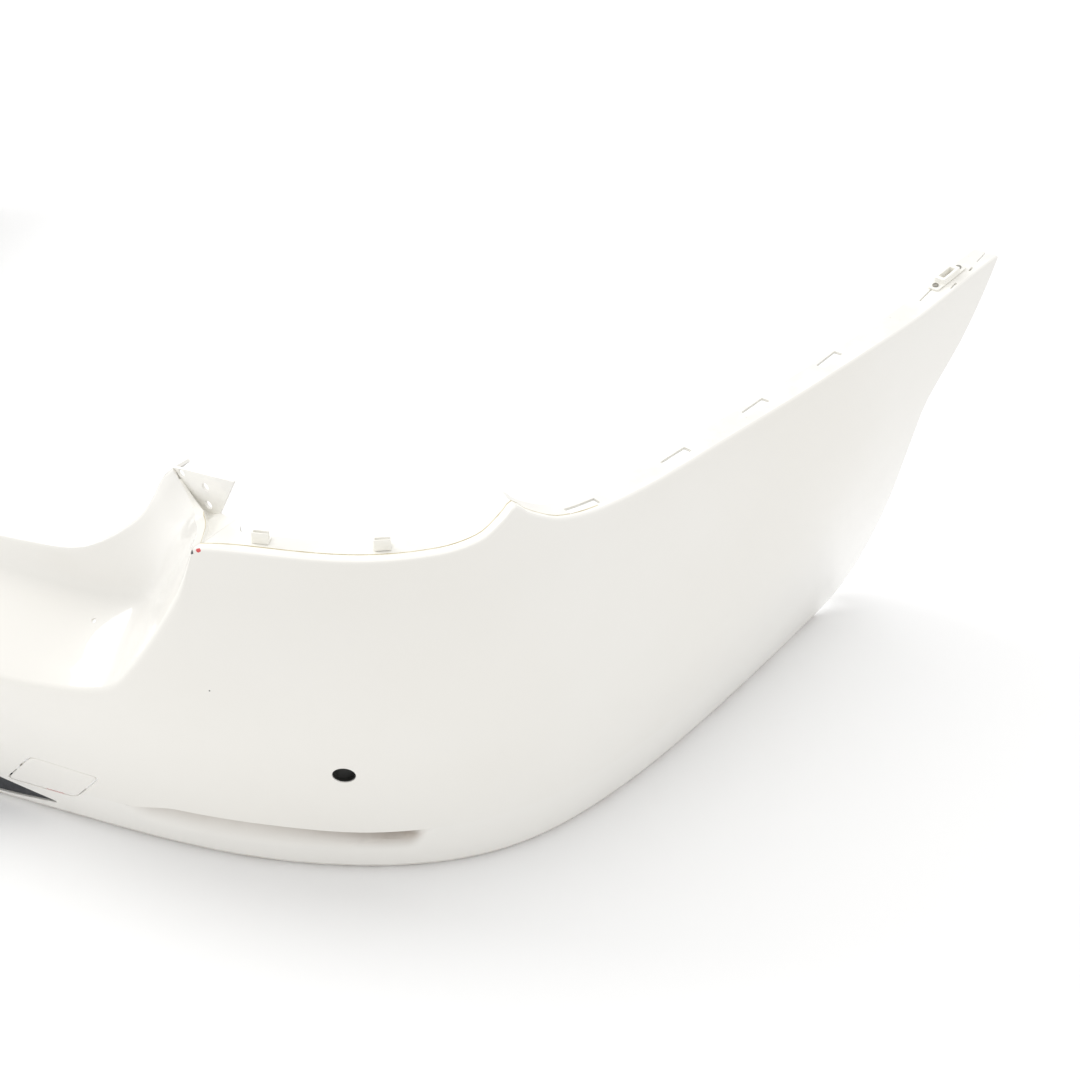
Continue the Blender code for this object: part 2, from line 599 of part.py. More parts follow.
def mirrored(bm, build):
    """Run build on the right side and add its mirror image on the left."""
    part = bmesh.new()
    build(part)
    copy = part.copy()
    bmesh.ops.scale(copy, vec=(-1, 1, 1), verts=copy.verts)
    bmesh.ops.reverse_faces(copy, faces=copy.faces)
    for source in (part, copy):
        mesh = bpy.data.meshes.new("mirror_half")
        source.to_mesh(mesh)
        bm.from_mesh(mesh)
        bpy.data.meshes.remove(mesh)
        source.free()


# ---------------------------------------------------------------- skin and its cuts
def cut_sensor_holes(bm):
    for s in SENSOR_S.values():
        add_prism(bm, circle(SENSOR_R, 20), -CUT_REACH, CUT_REACH, frame_at(s, SENSOR_Z))


def cut_tow_opening(bm):
    opening = rounded(grow(TOW_CORNERS, TOW_GAP), TOW_CORNER_R)
    add_face_slab(bm, opening, -CUT_REACH, CUT_REACH)


def insert_stations(end):
    half = INSERT_STATIONS + [end]
    return [-s for s in half[::-1]] + [0.0] + half


def insert_band(bm, foot_shift, top_shift, end, reach):
    """Band between the insert's edges, each moved up by its shift, on both sides of the centre."""
    top, foot = tidy_curve(INSERT_TOP), tidy_curve(INSERT_FOOT)
    add_face_band(bm, lambda s: foot(abs(s)) + foot_shift, lambda s: top(abs(s)) + top_shift,
                  insert_stations(end), reach)


def cut_insert_opening(bm):
    insert_band(bm, 0.0, 0.0, INSERT_TOP[-1][0], (-CUT_REACH, CUT_REACH))


def plan_turn(s):
    """Rotation about Z that takes X along the lower edge and Y inwards."""
    return Matrix.Rotation(math.atan2(*(normal(s) * [1, -1])), 4, "Z")


def cut_side_slots(bm):
    low, high = SIDE_SLOT_Z
    for y, inset, length, width in SIDE_SLOTS + TIP_SLOTS:
        s = side_s(y)
        middle = (face(s, SIDE_Z)[0] - inset, y + SHIFT_Y, 0.0)
        add_box(bm, (-length / 2, -width / 2, low), (length / 2, width / 2, high),
                Matrix.Translation(middle) @ plan_turn(s))


def side_s(y):
    """Surface s at which the top edge of the side reaches a given y."""
    s = np.linspace(*SIDE_S_RANGE, 701)
    return float(np.interp(y, face(s, SIDE_Z)[:, 1], s))


def plate_frame(x, z):
    """Matrix on the upright flange's front side, +Z backwards out of it."""
    turn = Matrix.Rotation(math.radians(90), 4, "X")
    return Matrix.Translation((x, PLATE_Y + SHIFT_Y + PLATE_T, z)) @ turn


def cut_plate_holes(bm):
    for x, z in PLATE_HOLES:
        add_prism(bm, circle(PLATE_HOLE_R, 14), -CUT_REACH, CUT_REACH, plate_frame(x, z))


def arch_places():
    """Matrices on the wheel-arch flange, +Z forwards out of it, one for each screw."""
    places = []
    for z in ARCH_HOLE_Z:
        s = float(arch_edge(z))
        low, high = z - 0.002, z + 0.002
        along = Vector(face(float(arch_edge(high)), high) - face(float(arch_edge(low)), low))
        inside = Vector((*(-normal(s)), 0.0))
        forward = inside.cross(along).normalized()
        if forward.y < 0:
            forward = -forward
        side = forward.cross(inside).normalized()
        matrix = Matrix((inside, side, forward)).transposed().to_4x4()
        middle = inward(s, z, ARCH_FLANGE / 2 + ARCH_HOLE_SHIFT)
        matrix.translation = Vector(middle) + Vector((0, SHIFT_Y, 0))
        places.append(matrix)
    return places


def flange_places():
    """Matrices on the bottom flange, +Z up, one for each screw on the right side."""
    places = []
    for s in FLANGE_HOLE_S:
        matrix = plan_turn(s)
        middle = Vector(face(s, 0.0, FLANGE_HOLE_INSET - BOTTOM_FLANGE))
        matrix.translation = middle + Vector((0, SHIFT_Y, 0))
        places.append(matrix)
    return places


def dish_place():
    """Matrix on the dish's slope near its outer end, +Z out of the surface."""
    foot = Vector(dish_foot(DISH_HOLE_S)) + Vector((0, SHIFT_Y, 0))
    top = float(top_edge(DISH_HOLE_S))
    lip = Vector(face(DISH_HOLE_S, top)) + Vector((0, SHIFT_Y, 0))
    slope = (lip - foot).normalized()
    across = Vector((1, DISH_HOLE_SKEW, 0)).normalized()
    outward = slope.cross(across).normalized()
    across = outward.cross(slope).normalized()
    matrix = Matrix((across, slope, outward)).transposed().to_4x4()
    matrix.translation = foot + slope * DISH_HOLE_UP
    return matrix


def cut_fastener_holes(bm):
    for place in arch_places():
        add_prism(bm, circle(ARCH_HOLE_R, 12), -CUT_REACH, CUT_REACH, place)
    for place in flange_places():
        add_prism(bm, circle(FLANGE_HOLE_R, 12), -CUT_REACH, CUT_REACH, place)
    add_prism(bm, circle(DISH_HOLE_R, 12), -CUT_REACH, CUT_REACH, dish_place())


def add_post_plate(bm):
    add_prism(bm, PLATE_OUTLINE[::-1], 0.0, PLATE_T, plate_frame(0, 0))


def build_skin():
    bm = skin_mesh(SKIN_STATIONS, SKIN_ROWS, HOLLOW_ROWS)
    skin = add_object("bumper_skin", bm, material("white_paint", WHITE, 0.18))
    shell = skin.modifiers.new("shell", "SOLIDIFY")
    shell.thickness = SHELL
    shell.offset = -1.0
    shell.use_even_offset = True
    plates = bmesh.new()
    mirrored(plates, add_post_plate)
    mirrored(plates, add_insert_studs)
    boolean(skin, "plates_and_studs_tool", plates, "UNION")
    cuts = bmesh.new()
    cut_sensor_holes(cuts)
    cut_tow_opening(cuts)
    cut_insert_opening(cuts)
    for cut in (cut_side_slots, cut_plate_holes, cut_fastener_holes, cut_bracket_holes):
        mirrored(cuts, cut)
    boolean(skin, "openings_tool", cuts, "DIFFERENCE")


# ---------------------------------------------------------------- lower insert
def stud_places():
    """Matrices on the face over each moulded stud of the right side, +Z out."""
    top = tidy_curve(INSERT_TOP)
    return [frame_at(s, float(top(s)) + STUD_UP) for s in STUD_S]


def add_insert_studs(bm):
    for place in stud_places():
        add_prism(bm, circle(STUD_R, 8), -STUD_LENGTH, -SHELL / 2, place)


def cut_stud_holes(bm):
    for place in stud_places():
        add_prism(bm, circle(STUD_R + 2 * GAP, 8), -CUT_REACH, -SHELL, place)


def build_lower_insert():
    """Black panel in the lower centre opening, with a lap behind the skin."""
    end = INSERT_TOP[-1][0]
    panel, lap = bmesh.new(), bmesh.new()
    insert_band(panel, INSERT_GAP, -INSERT_GAP, end - INSERT_END_GAP, (-INSERT_DEPTH, -INSERT_SETBACK))
    insert_band(lap, -INSERT_FOOT_LAP, INSERT_LAP, end + INSERT_LAP, (-INSERT_DEPTH, -SHELL - 2 * GAP))
    insert = add_object("lower_insert", panel, material("black_grained", BLACK, 0.6))
    boolean(insert, "insert_lap_tool", lap, "UNION")
    holes = bmesh.new()
    mirrored(holes, cut_stud_holes)
    boolean(insert, "insert_holes_tool", holes, "DIFFERENCE")


# ---------------------------------------------------------------- tow-eye cover
def tow_frame():
    """Matrix at the middle of the cover's inner edge: X into the cover, Y up the edge, Z out."""
    low, high = (Vector(flat_face(*TOW_CORNERS[i])) for i in (0, 3))
    middle = [(a + b) / 2 for a, b in zip(TOW_CORNERS[0], TOW_CORNERS[3])]
    along = (high - low).normalized()
    across = along.cross(frame_at(*middle).col[2].xyz).normalized()
    matrix = Matrix((across, along, across.cross(along))).transposed().to_4x4()
    matrix.translation = (low + high) / 2 + Vector((0, SHIFT_Y, 0))
    return matrix


def add_tow_hook(bm, frame, middle):
    """C-shaped hook that reaches round the opening's edge to the pivot behind the skin."""
    tip, deep, root = TOW_HOOK_LIP - TOW_AXIS_IN, -TOW_HOOK_DEEP, OVERLAP - TOW_RIM
    outer, inner = -TOW_AXIS_BACK - TOW_HOOK_T / 2, -TOW_AXIS_BACK + TOW_HOOK_T / 2
    outline = [(outer, tip), (outer, deep), (TOW_HOOK_ROOT, deep), (TOW_HOOK_ROOT, root),
               (TOW_HOOK_ROOT - TOW_HOOK_T, root), (TOW_HOOK_ROOT - TOW_HOOK_T, deep + TOW_HOOK_T),
               (inner, deep + TOW_HOOK_T), (inner, tip)]
    turn = Matrix.Rotation(math.radians(90), 4, "X")
    place = frame @ Matrix.Translation((0, middle, 0)) @ turn
    add_prism(bm, outline, -TOW_HOOK_WIDTH / 2, TOW_HOOK_WIDTH / 2, place)


def add_tow_snap(bm):
    """Rib behind the outer edge that snaps into the opening."""
    low, high = TOW_CORNERS[1:3]
    slant = math.atan2(high[0] - low[0], high[1] - low[1])
    place = frame_at(*TOW_SNAP_AT) @ Matrix.Rotation(-slant, 4, "Z")
    thick, length, deep = TOW_SNAP
    add_box(bm, (-thick / 2, -length / 2, -deep), (thick / 2, length / 2, OVERLAP - TOW_RIM), place)


def build_tow_eye_cover():
    """Hinged cover over the tow-eye socket; its origin is on the hook pivot."""
    frame = tow_frame()
    pivot = frame @ Vector((-TOW_AXIS_BACK, 0, -TOW_AXIS_IN))
    plate, boss, back = bmesh.new(), bmesh.new(), bmesh.new()
    add_face_slab(plate, rounded(TOW_CORNERS, TOW_CORNER_R), -TOW_RIM, 0.0)
    inset = rounded(grow(TOW_CORNERS, -TOW_BOSS_INSET), TOW_CORNER_R)
    add_face_slab(boss, inset, -TOW_PANEL, -TOW_RIM / 2)
    for middle in TOW_HOOK_PLACE:
        add_tow_hook(back, frame, middle)
    add_tow_snap(back)
    bmesh.ops.translate(plate, vec=-pivot, verts=plate.verts)
    cover = add_object("tow_eye_cover", plate, material("white_paint", WHITE, 0.18))
    cover.location = pivot
    boolean(cover, "tow_boss_tool", boss, "UNION")
    boolean(cover, "tow_hooks_tool", back, "UNION")


# ---------------------------------------------------------------- parking sensor holders
def build_sensor_holders():
    """Black sockets bonded behind the four sensor holes."""
    collar = SENSOR_R - HOLDER_FIT
    profile = [(HOLDER_BORE_R, HOLDER_FRONT), (collar, HOLDER_FRONT), (collar, HOLDER_SEAT),
               (HOLDER_FLANGE_R, HOLDER_SEAT), (HOLDER_FLANGE_R, HOLDER_FLANGE_BACK),
               (HOLDER_BODY_R, HOLDER_FLANGE_BACK), (HOLDER_BODY_R, HOLDER_BACK),
               (HOLDER_BORE_R, HOLDER_BACK)]
    for name, s in SENSOR_S.items():
        bm = bmesh.new()
        add_turned(bm, profile, frame_at(s, SENSOR_Z), 20)
        add_object("sensor_holder_" + name, bm, material("black_plastic", BLACK, 0.5))


# ---------------------------------------------------------------- brackets, clips and fasteners
def top_flange_frame(span, lift):
    """Matrix above the flat of the top flange between two stations: X along it, Z up."""
    corners = []
    for sigma in span:
        top = float(top_edge(sigma))
        edge = face(lean(sigma, top), top)
        below = face(lean(sigma, top), top - LAMP_FOLD)
        step_end, rim = strip_column(sigma, edge, below)[-2:]
        corners.append((Vector(step_end), Vector(rim)))
    (a, b), (c, d) = corners
    along = (c + d - a - b).normalized()
    up = along.cross(b - a).normalized()
    if up.z < 0:
        up = -up
    matrix = Matrix((along, up.cross(along), up)).transposed().to_4x4()
    matrix.translation = (a + b + c + d) / 4 + Vector((0, SHIFT_Y, 0)) + up * lift
    return matrix


def screw_places():
    place = top_flange_frame(BRACKET_SPAN, BRACKET_LIFT)
    return [place @ Matrix.Translation((x, 0, 0)) for x in (-SCREW_X, SCREW_X)]


def cut_bracket_holes(bm):
    for place in screw_places():
        add_prism(bm, circle(SCREW_HOLE_R, 8), -CUT_REACH, CUT_REACH, place)


def flip_to(side, bm):
    """Mirror a right-hand bmesh to the left when side asks for it."""
    if side == "left":
        bmesh.ops.scale(bm, vec=(-1, 1, 1), verts=bm.verts)
        bmesh.ops.reverse_faces(bm, faces=bm.faces)


def build_end_bracket(side):
    """Boxed guide bracket on the front end of the top flange."""
    place = top_flange_frame(BRACKET_SPAN, BRACKET_LIFT)
    length, width, base = BRACKET
    box, box_width, high = BRACKET_BOX
    window, deep = BRACKET_WINDOW
    foot, raised, holes = bmesh.new(), bmesh.new(), bmesh.new()
    add_box(foot, (-length / 2, -width / 2, 0), (length / 2, width / 2, base), place)
    add_box(raised, (-box / 2, -box_width / 2, base / 2), (box / 2, box_width / 2, high), place)
    add_box(holes, (-window / 2, -deep / 2, -CUT_REACH), (window / 2, deep / 2, CUT_REACH), place)
    cut_bracket_holes(holes)
    for bm in (foot, raised, holes):
        flip_to(side, bm)
    name = "end_bracket_" + side
    bracket = add_object(name, foot, material("cream_plastic", CREAM, 0.45))
    boolean(bracket, name + "_box_tool", raised, "UNION")
    boolean(bracket, name + "_holes_tool", holes, "DIFFERENCE")


def lamp_clip_places():
    turn = Matrix.Rotation(math.radians(90), 4, "X")
    across = Matrix.Rotation(math.radians(90), 4, "Y")
    return [top_flange_frame(span, LAMP_CLIP_LIFT) @ turn @ across for span in LAMP_CLIP_SPANS]


def add_screw(bm, place):
    add_lathe(bm, SCREW_PROFILE, place, 8)


def add_lamp_clip(bm, place):
    """Upright spring clip on the lamp cut-out's flange."""
    add_prism(bm, LAMP_CLIP, -LAMP_CLIP_WIDTH / 2, LAMP_CLIP_WIDTH / 2, place)


def add_arch_nut(bm, place):
    back = -SHELL - ARCH_NUT_GAP
    add_ring(bm, NUT_R, NUT_HOLE_R, back - NUT_T, back, place)


def add_flange_nut(bm, place):
    add_ring(bm, NUT_R, NUT_HOLE_R, SHELL + GAP, SHELL + GAP + NUT_T, place)


def add_push_nut(bm, place):
    back = -INSERT_DEPTH - GAP
    add_ring(bm, PUSH_NUT_R, STUD_R + GAP, back - PUSH_NUT_T, back, place)


def build_both_sides(name, add, places, mat):
    """One object at each place on the right side, and its mirror image on the left."""
    for side in ("right", "left"):
        for number, place in enumerate(places, 1):
            bm = bmesh.new()
            add(bm, place)
            flip_to(side, bm)
            add_object(f"{name}_{side}_{number}", bm, mat)


def main():
    for obj in list(bpy.data.objects):
        bpy.data.objects.remove(obj)
    build_skin()
    build_lower_insert()
    build_tow_eye_cover()
    build_sensor_holders()
    for side in ("right", "left"):
        build_end_bracket(side)
    steel = material("zinc_steel", STEEL, 0.45, 1.0)
    cream = material("cream_plastic", CREAM, 0.45)
    build_both_sides("bracket_screw", add_screw, screw_places(), steel)
    build_both_sides("lamp_edge_clip", add_lamp_clip, lamp_clip_places(), cream)
    build_both_sides("arch_nut", add_arch_nut, arch_places(), steel)
    build_both_sides("flange_nut", add_flange_nut, flange_places(), steel)
    build_both_sides("insert_push_nut", add_push_nut, stud_places(), steel)


main()
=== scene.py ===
"""Looks of the rear bumper cover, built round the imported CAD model.

The skin is drawn again from the same curves as the CAD skin, on a finer grid and with softer folds.
Small pieces are drawn again with their rounded edges, and all of them get node materials.
"""

import json
import math
from functools import cache

import bmesh
import bpy
import numpy as np
from mathutils import Matrix, Vector

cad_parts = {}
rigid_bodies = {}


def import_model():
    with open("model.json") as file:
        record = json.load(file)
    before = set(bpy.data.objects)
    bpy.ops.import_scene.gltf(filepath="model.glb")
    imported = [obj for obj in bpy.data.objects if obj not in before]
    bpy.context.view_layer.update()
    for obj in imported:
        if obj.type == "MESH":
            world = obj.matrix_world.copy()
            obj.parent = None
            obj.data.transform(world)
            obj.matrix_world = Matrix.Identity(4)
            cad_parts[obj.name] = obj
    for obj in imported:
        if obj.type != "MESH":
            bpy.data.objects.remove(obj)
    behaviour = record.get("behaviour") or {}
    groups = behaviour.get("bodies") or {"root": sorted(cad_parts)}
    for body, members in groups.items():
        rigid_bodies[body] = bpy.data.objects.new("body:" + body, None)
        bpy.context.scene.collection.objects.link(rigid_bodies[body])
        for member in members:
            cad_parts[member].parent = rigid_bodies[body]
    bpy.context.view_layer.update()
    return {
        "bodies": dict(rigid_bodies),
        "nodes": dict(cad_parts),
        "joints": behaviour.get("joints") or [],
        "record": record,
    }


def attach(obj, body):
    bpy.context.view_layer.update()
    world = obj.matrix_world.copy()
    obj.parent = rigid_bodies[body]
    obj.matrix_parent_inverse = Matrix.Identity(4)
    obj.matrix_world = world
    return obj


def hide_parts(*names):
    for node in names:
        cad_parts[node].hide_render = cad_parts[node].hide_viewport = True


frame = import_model()

# ---------------------------------------------------------------- shape, as the CAD model has it
SHELL = 0.003                 # wall of the moulded skin
GAP = 0.0003                  # clearance between pieces that touch
HALF_PLAN = [(0.0, -0.022), (0.18, -0.002), (0.362, 0.0455), (0.543, 0.105), (0.657, 0.168),
             (0.722, 0.222), (0.774, 0.293), (0.808, 0.395), (0.829, 0.56), (0.839, 0.80),
             (0.842, 1.08)]   # lower edge from above, centre line to front end
SECTION_Z = [0.0, 0.05, 0.12, 0.20, 0.28, 0.36, 0.43, 0.50]
REAR_SECTION = [0.0, 0.0135, 0.031, 0.047, 0.051, 0.038, 0.0135, -0.018]
FRONT_SECTION = [0.0, 0.018, 0.042, 0.062, 0.074, 0.078, 0.075, 0.068]
FLARE_START, FLARE_END, FLARE_POWER = 1.05, 1.658, 1.9

# top edge of the outer face: (s, height)
TOP_EDGE = [(0.0, 0.230), (0.05, 0.230), (0.35, 0.237), (0.42, 0.245), (0.46, 0.257),
            (0.477, 0.268), (0.50, 0.298), (0.532, 0.351), (0.551, 0.390), (0.557, 0.411),
            (0.561, 0.427), (0.60, 0.429), (0.72, 0.425), (0.786, 0.427), (0.823, 0.433),
            (0.849, 0.447), (0.862, 0.455), (0.873, 0.446), (0.887, 0.438), (0.903, 0.431),
            (0.945, 0.424), (1.11, 0.416), (1.30, 0.407), (1.45, 0.404), (1.613, 0.419)]
# number-plate dish: foot of its wall and boot shut line, (s of the lip, x, y, z)
DISH_FOOT = [(0.0, 0.0, 0.040, 0.288), (0.20, 0.200, 0.051, 0.290), (0.35, 0.350, 0.083, 0.293),
             (0.42, 0.425, 0.104, 0.296), (0.46, 0.455, 0.112, 0.306), (0.477, 0.470, 0.114, 0.319),
             (0.50, 0.489, 0.114, 0.348), (0.532, 0.508, 0.110, 0.377), (0.551, 0.524, 0.105, 0.401),
             (0.557, 0.532, 0.107, 0.417), (0.561, 0.5365, 0.1145, 0.431)]
SHUT_LINE = [(0.0, 0.0, 0.050, 0.326), (0.20, 0.200, 0.060, 0.330), (0.35, 0.335, 0.080, 0.3435),
             (0.42, 0.382, 0.090, 0.353), (0.46, 0.407, 0.102, 0.3645), (0.477, 0.425, 0.114, 0.3785),
             (0.50, 0.4435, 0.126, 0.398), (0.532, 0.453, 0.136, 0.418), (0.551, 0.460, 0.143, 0.437),
             (0.557, 0.466, 0.147, 0.4475), (0.561, 0.4725, 0.149, 0.453)]
WALL_SAG, WALL_SAG_START = (0.0, 0.007, -0.0105), 0.50   # the side wall bellies out at the post
POST_S = 0.561                # the dish's side wall ends here, at the lamp cut-out
PEAK_S = 0.862                # pointed corner between the lamp cut-out and the side

# wheel-arch edge: (height, s)
ARCH_EDGE = [(0.0, 1.385), (0.023, 1.437), (0.06, 1.452), (0.20, 1.454), (0.275, 1.472),
             (0.343, 1.549), (0.379, 1.583), (0.419, 1.613), (0.50, 1.655)]
FAN_START = 0.95              # columns lean towards the arch edge beyond this s
MID_Z = 0.20                  # rows run level below this height

BOTTOM_FOLD, BOTTOM_FLANGE = 0.008, 0.038
LIP_FOLD, LAMP_FOLD, LIP_STEPS = 0.006, 0.003, 5
FOOT_FOLD, SHUT_FOLD, SHUT_FLANGE, SHUT_DROP = 0.014, 0.004, 0.022, 0.002
LEDGE, STEP, TOP_FLANGE = 0.012, 0.003, 0.022      # at the lamp cut-out
SIDE_LEDGE, SIDE_STEP = 0.008, 0.0004              # along the side
SIDE_CHANGE = 0.05            # length over which the one turns into the other
LEDGE_DROP, FLANGE_DROP = 0.0005, 0.001            # slight fall of ledge and flange
LIP_TAPER = 0.015             # length over which the lip's fold narrows to the lamp cut-out's
ARCH_FLANGE = 0.027
TIP_REACH = 0.0022            # the front flange's rim lies this far beyond the face's front corner

# lower scoop in each corner: crisp upper edge and soft lower edge, (s, height)
SCOOP_TOP = [(0.0, 0.052), (0.444, 0.060), (0.51, 0.077), (0.60, 0.078), (0.70, 0.074),
             (0.765, 0.076), (0.90, 0.080), (1.66, 0.080)]
SCOOP_FOOT = [(0.444, 0.046), (0.48, 0.034), (0.58, 0.040), (0.664, 0.046), (0.735, 0.061),
              (0.765, 0.074)]
SCOOP_DEPTH = [(0.444, 0.0), (0.50, 0.007), (0.60, 0.012), (0.70, 0.015), (0.74, 0.011),
               (0.765, 0.0)]
SCOOP_UNDERCUT = 0.002        # height over which the crisp edge falls into the scoop

SENSOR_Z, SENSOR_R = 0.179, 0.0118
SENSOR_S = {"outer_right": 0.689, "inner_right": 0.20, "inner_left": -0.20, "outer_left": -0.689}

TOW_CORNERS = [(0.299, 0.047), (0.381, 0.046), (0.425, 0.1025), (0.347, 0.108)]
TOW_CORNER_R, TOW_PANEL = 0.010, 0.0025
TOW_RIM, TOW_BOSS_INSET = 0.0015, 0.004            # thin rim, thicker middle
TOW_AXIS_BACK, TOW_AXIS_IN = 0.006, 0.0052         # hook pivot beyond and behind the cover's edge
TOW_HOOK_PLACE, TOW_HOOK_WIDTH, TOW_HOOK_DEEP = (-0.020, 0.020), 0.008, 0.015
TOW_HOOK_T, TOW_HOOK_ROOT, TOW_HOOK_LIP = 0.003, 0.006, 0.001
TOW_SNAP_AT, TOW_SNAP = (0.394, 0.0755), (0.002, 0.024, 0.0085)    # rib: thickness, length, depth

INSERT_TOP = [(0.0, 0.075), (0.18, 0.074), (0.23, 0.064), (0.288, 0.044), (0.350, 0.0235)]
INSERT_FOOT = [(0.0, 0.010), (0.24, 0.010), (0.29, 0.012), (0.350, 0.0200)]
INSERT_GAP, INSERT_SETBACK, INSERT_DEPTH, INSERT_LAP = 0.0012, 0.0015, 0.0066, 0.010
INSERT_END_GAP, INSERT_FOOT_LAP = 0.003, 0.001
STUD_S, STUD_UP, STUD_R, STUD_LENGTH = (0.06, 0.165), 0.0055, 0.0016, 0.0125
PUSH_NUT_R, PUSH_NUT_T = 0.006, 0.0012             # push-on nuts that hold the insert's lap

HOLDER_BORE_R, HOLDER_BODY_R, HOLDER_FLANGE_R = 0.0098, 0.0135, 0.0185
HOLDER_FRONT, HOLDER_SEAT, HOLDER_FLANGE_BACK, HOLDER_BACK = -0.001, -0.0045, -0.0065, -0.022
HOLDER_FIT = 0.0005           # the collar is this much smaller than the hole

NUT_R, NUT_HOLE_R, NUT_T = 0.007, 0.0024, 0.0045   # clip nuts on the flanges
ARCH_NUT_GAP = 0.0012
BRACKET_SPAN, BRACKET = (1.517, 1.583), (0.056, 0.014, 0.002)       # length, width, base
BRACKET_BOX, BRACKET_WINDOW = (0.032, 0.0132, 0.008), (0.022, 0.007)
BRACKET_LIFT, SCREW_X, SCREW_HOLE_R = 0.0005, 0.022, 0.0019
SCREW_PROFILE = [(0.0014, -0.007), (0.0014, 0.0023), (0.0034, 0.0023), (0.0030, 0.0045)]
LAMP_CLIP_SPANS, LAMP_CLIP_LIFT, LAMP_CLIP_WIDTH = ((0.60, 0.64), (0.72, 0.75)), 0.0006, 0.016

PLATE_Y, PLATE_T = 0.150, 0.003                    # upright flange behind the post
PLATE_OUTLINE = [(0.4665, 0.440), (0.4675, 0.4475), (0.474, 0.4535), (0.490, 0.4575), (0.5535, 0.4705),
                 (0.517, 0.399), (0.500, 0.401), (0.484, 0.420)]   # (x, z)
PLATE_HOLES = [(0.483, 0.4505), (0.514, 0.4475), (0.5155, 0.4272)]
POST_DEPTH, POST_CHANNEL, POST_CLEAR = 0.055, 0.010, 0.020        # channel between post and flange
POST_LEDGE_SHARE, POST_CHANNEL_RISE = 0.45, 1.5
PLATE_HOLE_R = 0.0045

SIDE_Z, SIDE_S_RANGE = 0.41, (0.9, 1.62)           # height and reach of the side's top edge
SIDE_SLOT_Z = (0.385, 0.440)
# slots along the side's top flange: y, distance inside the top edge, length, width
SIDE_SLOTS = [(y, 0.0205, 0.038, 0.010) for y in (0.36, 0.49, 0.62, 0.75)]
TIP_SLOTS = [(0.928, 0.0200, 0.028, 0.0024), (0.958, 0.0060, 0.013, 0.0024),
             (0.996, 0.0100, 0.008, 0.0024), (1.0235, 0.0145, 0.023, 0.0024)]
ARCH_HOLE_Z, ARCH_HOLE_R = (0.07, 0.15, 0.23), 0.0032
ARCH_HOLE_SHIFT = 0.002       # forwards of the middle of the arch flange
FLANGE_HOLE_S, FLANGE_HOLE_R = (0.14, 0.50, 0.84, 1.20), 0.0032
FLANGE_HOLE_INSET = 0.014     # from the inner edge of the bottom flange
DISH_HOLE_S, DISH_HOLE_R, DISH_HOLE_UP, DISH_HOLE_SKEW = 0.405, 0.0026, 0.028, 0.3
CUT_REACH = 0.010             # cutters stand this far out of the surface on both sides
OVERLAP = 0.0003              # how far joined shapes run into each other
MERGE = 0.00005               # points closer than this are one

# columns of the skin's grid
SKIN_STATIONS = [0.0, 0.10, 0.19, 0.27, 0.34, 0.39, 0.43, 0.46, 0.477, 0.49, 0.505, 0.52, 0.535,
                 0.548, POST_S, 0.60, 0.64, 0.68, 0.72, 0.75, 0.78, 0.81, 0.835, 0.852,
                 PEAK_S, 0.873, 0.888, 0.91, 0.95, 1.02, 1.10, 1.18, 1.27, 1.36, 1.45,
                 1.517, 1.583, TOP_EDGE[-1][0]]

REAR_SPACING, SIDE_SPACING = 0.008, 0.016          # columns of the fine grid
FACE_ROWS = (11, 13, 15)      # points up to the scoop's crisp edge, from there to MID_Z, and above it
# points of the folds and of the wall in one column: from the bottom flange up to the shut line
BOTTOM_STEPS, DISH_LIP_STEPS, FOOT_STEPS, WALL_ROWS, SHUT_STEPS = 7, 6, 9, 9, 5
BAND_ROWS = 6                 # rows of a band between its two edges
ARCH_ROWS = (0.12, 0.25, 0.5, 0.75, 1.0)           # of the arch flange, as shares of its width
RING, SENSOR_SIDES, PLATE_SIDES, ROUND, SMALL_ROUND = 48, 40, 32, 24, 16   # sides of round shapes
LAMP_TAB = [(-0.006, 0.0), (0.006, 0.0), (0.006, 0.0015), (0.0, 0.0015), (-0.0003, 0.012),
            (-0.006, 0.012)]                       # side view: across the flange, up
LAMP_TAB_SLIT = (-0.0049, 0.004, -0.0068), (-0.0013, 0.013, 0.009)
TOW_SHUT_GAP, TOW_SIDE_GAP = 0.0007, 0.0012    # shut lines: all round, and more at the sides
CREASE = 0.0014               # width of the line of grime and painted shade before the ledge's end
POST_BLEND, POST_END = 0.045, 0.003                # lengths over which the strips change at the post
RELAX_ROUNDS = 40             # of evening out the dish
SLOT_CORNER, PLATE_CORNER = 0.0012, 0.0025
INSERT_SOFT, INSERT_COLUMNS, STUD_HOLE_REACH = 0.0008, 24, 0.002
CROWN_SHARES = (0.85, 0.65, 0.45, 0.25)            # rings of a crowned slab, as shares of its outline
TOW_RIM_STEPS = [(0.0, -0.0007), (-0.0002, -0.0002), (-0.0007, 0.0)]       # growth, distance
HOLDER_SEAL, HOLDER_SOFT = 0.0012, 0.0004          # step for the sensor's seal, softened edges
LATCH_HALF_WIDTH, LATCH_ROOT, LATCH_OUT, LATCH_UP, LATCH_DOWN = 0.003, 0.001, 0.0018, 0.0005, 0.002
BRACKET_CORNERS, BRACKET_SOFT, LAMP_TAB_SOFT = (0.003, 0.0015, 0.0008), 0.0004, 0.0003
SCREW_PITCH, SCREW_ROOT, SCREW_SOFT = 0.0006, 0.82, 0.0003
NUT_HEX, NUT_SOFT = 0.0052, 0.0004
PUSH_NUT_WAIST, PUSH_NUT_DISH, PUSH_NUT_TOOTH = 0.7, 0.0003, 0.0007
SOFT_ANGLE, SHARP_ANGLE = math.radians(35), math.radians(32)

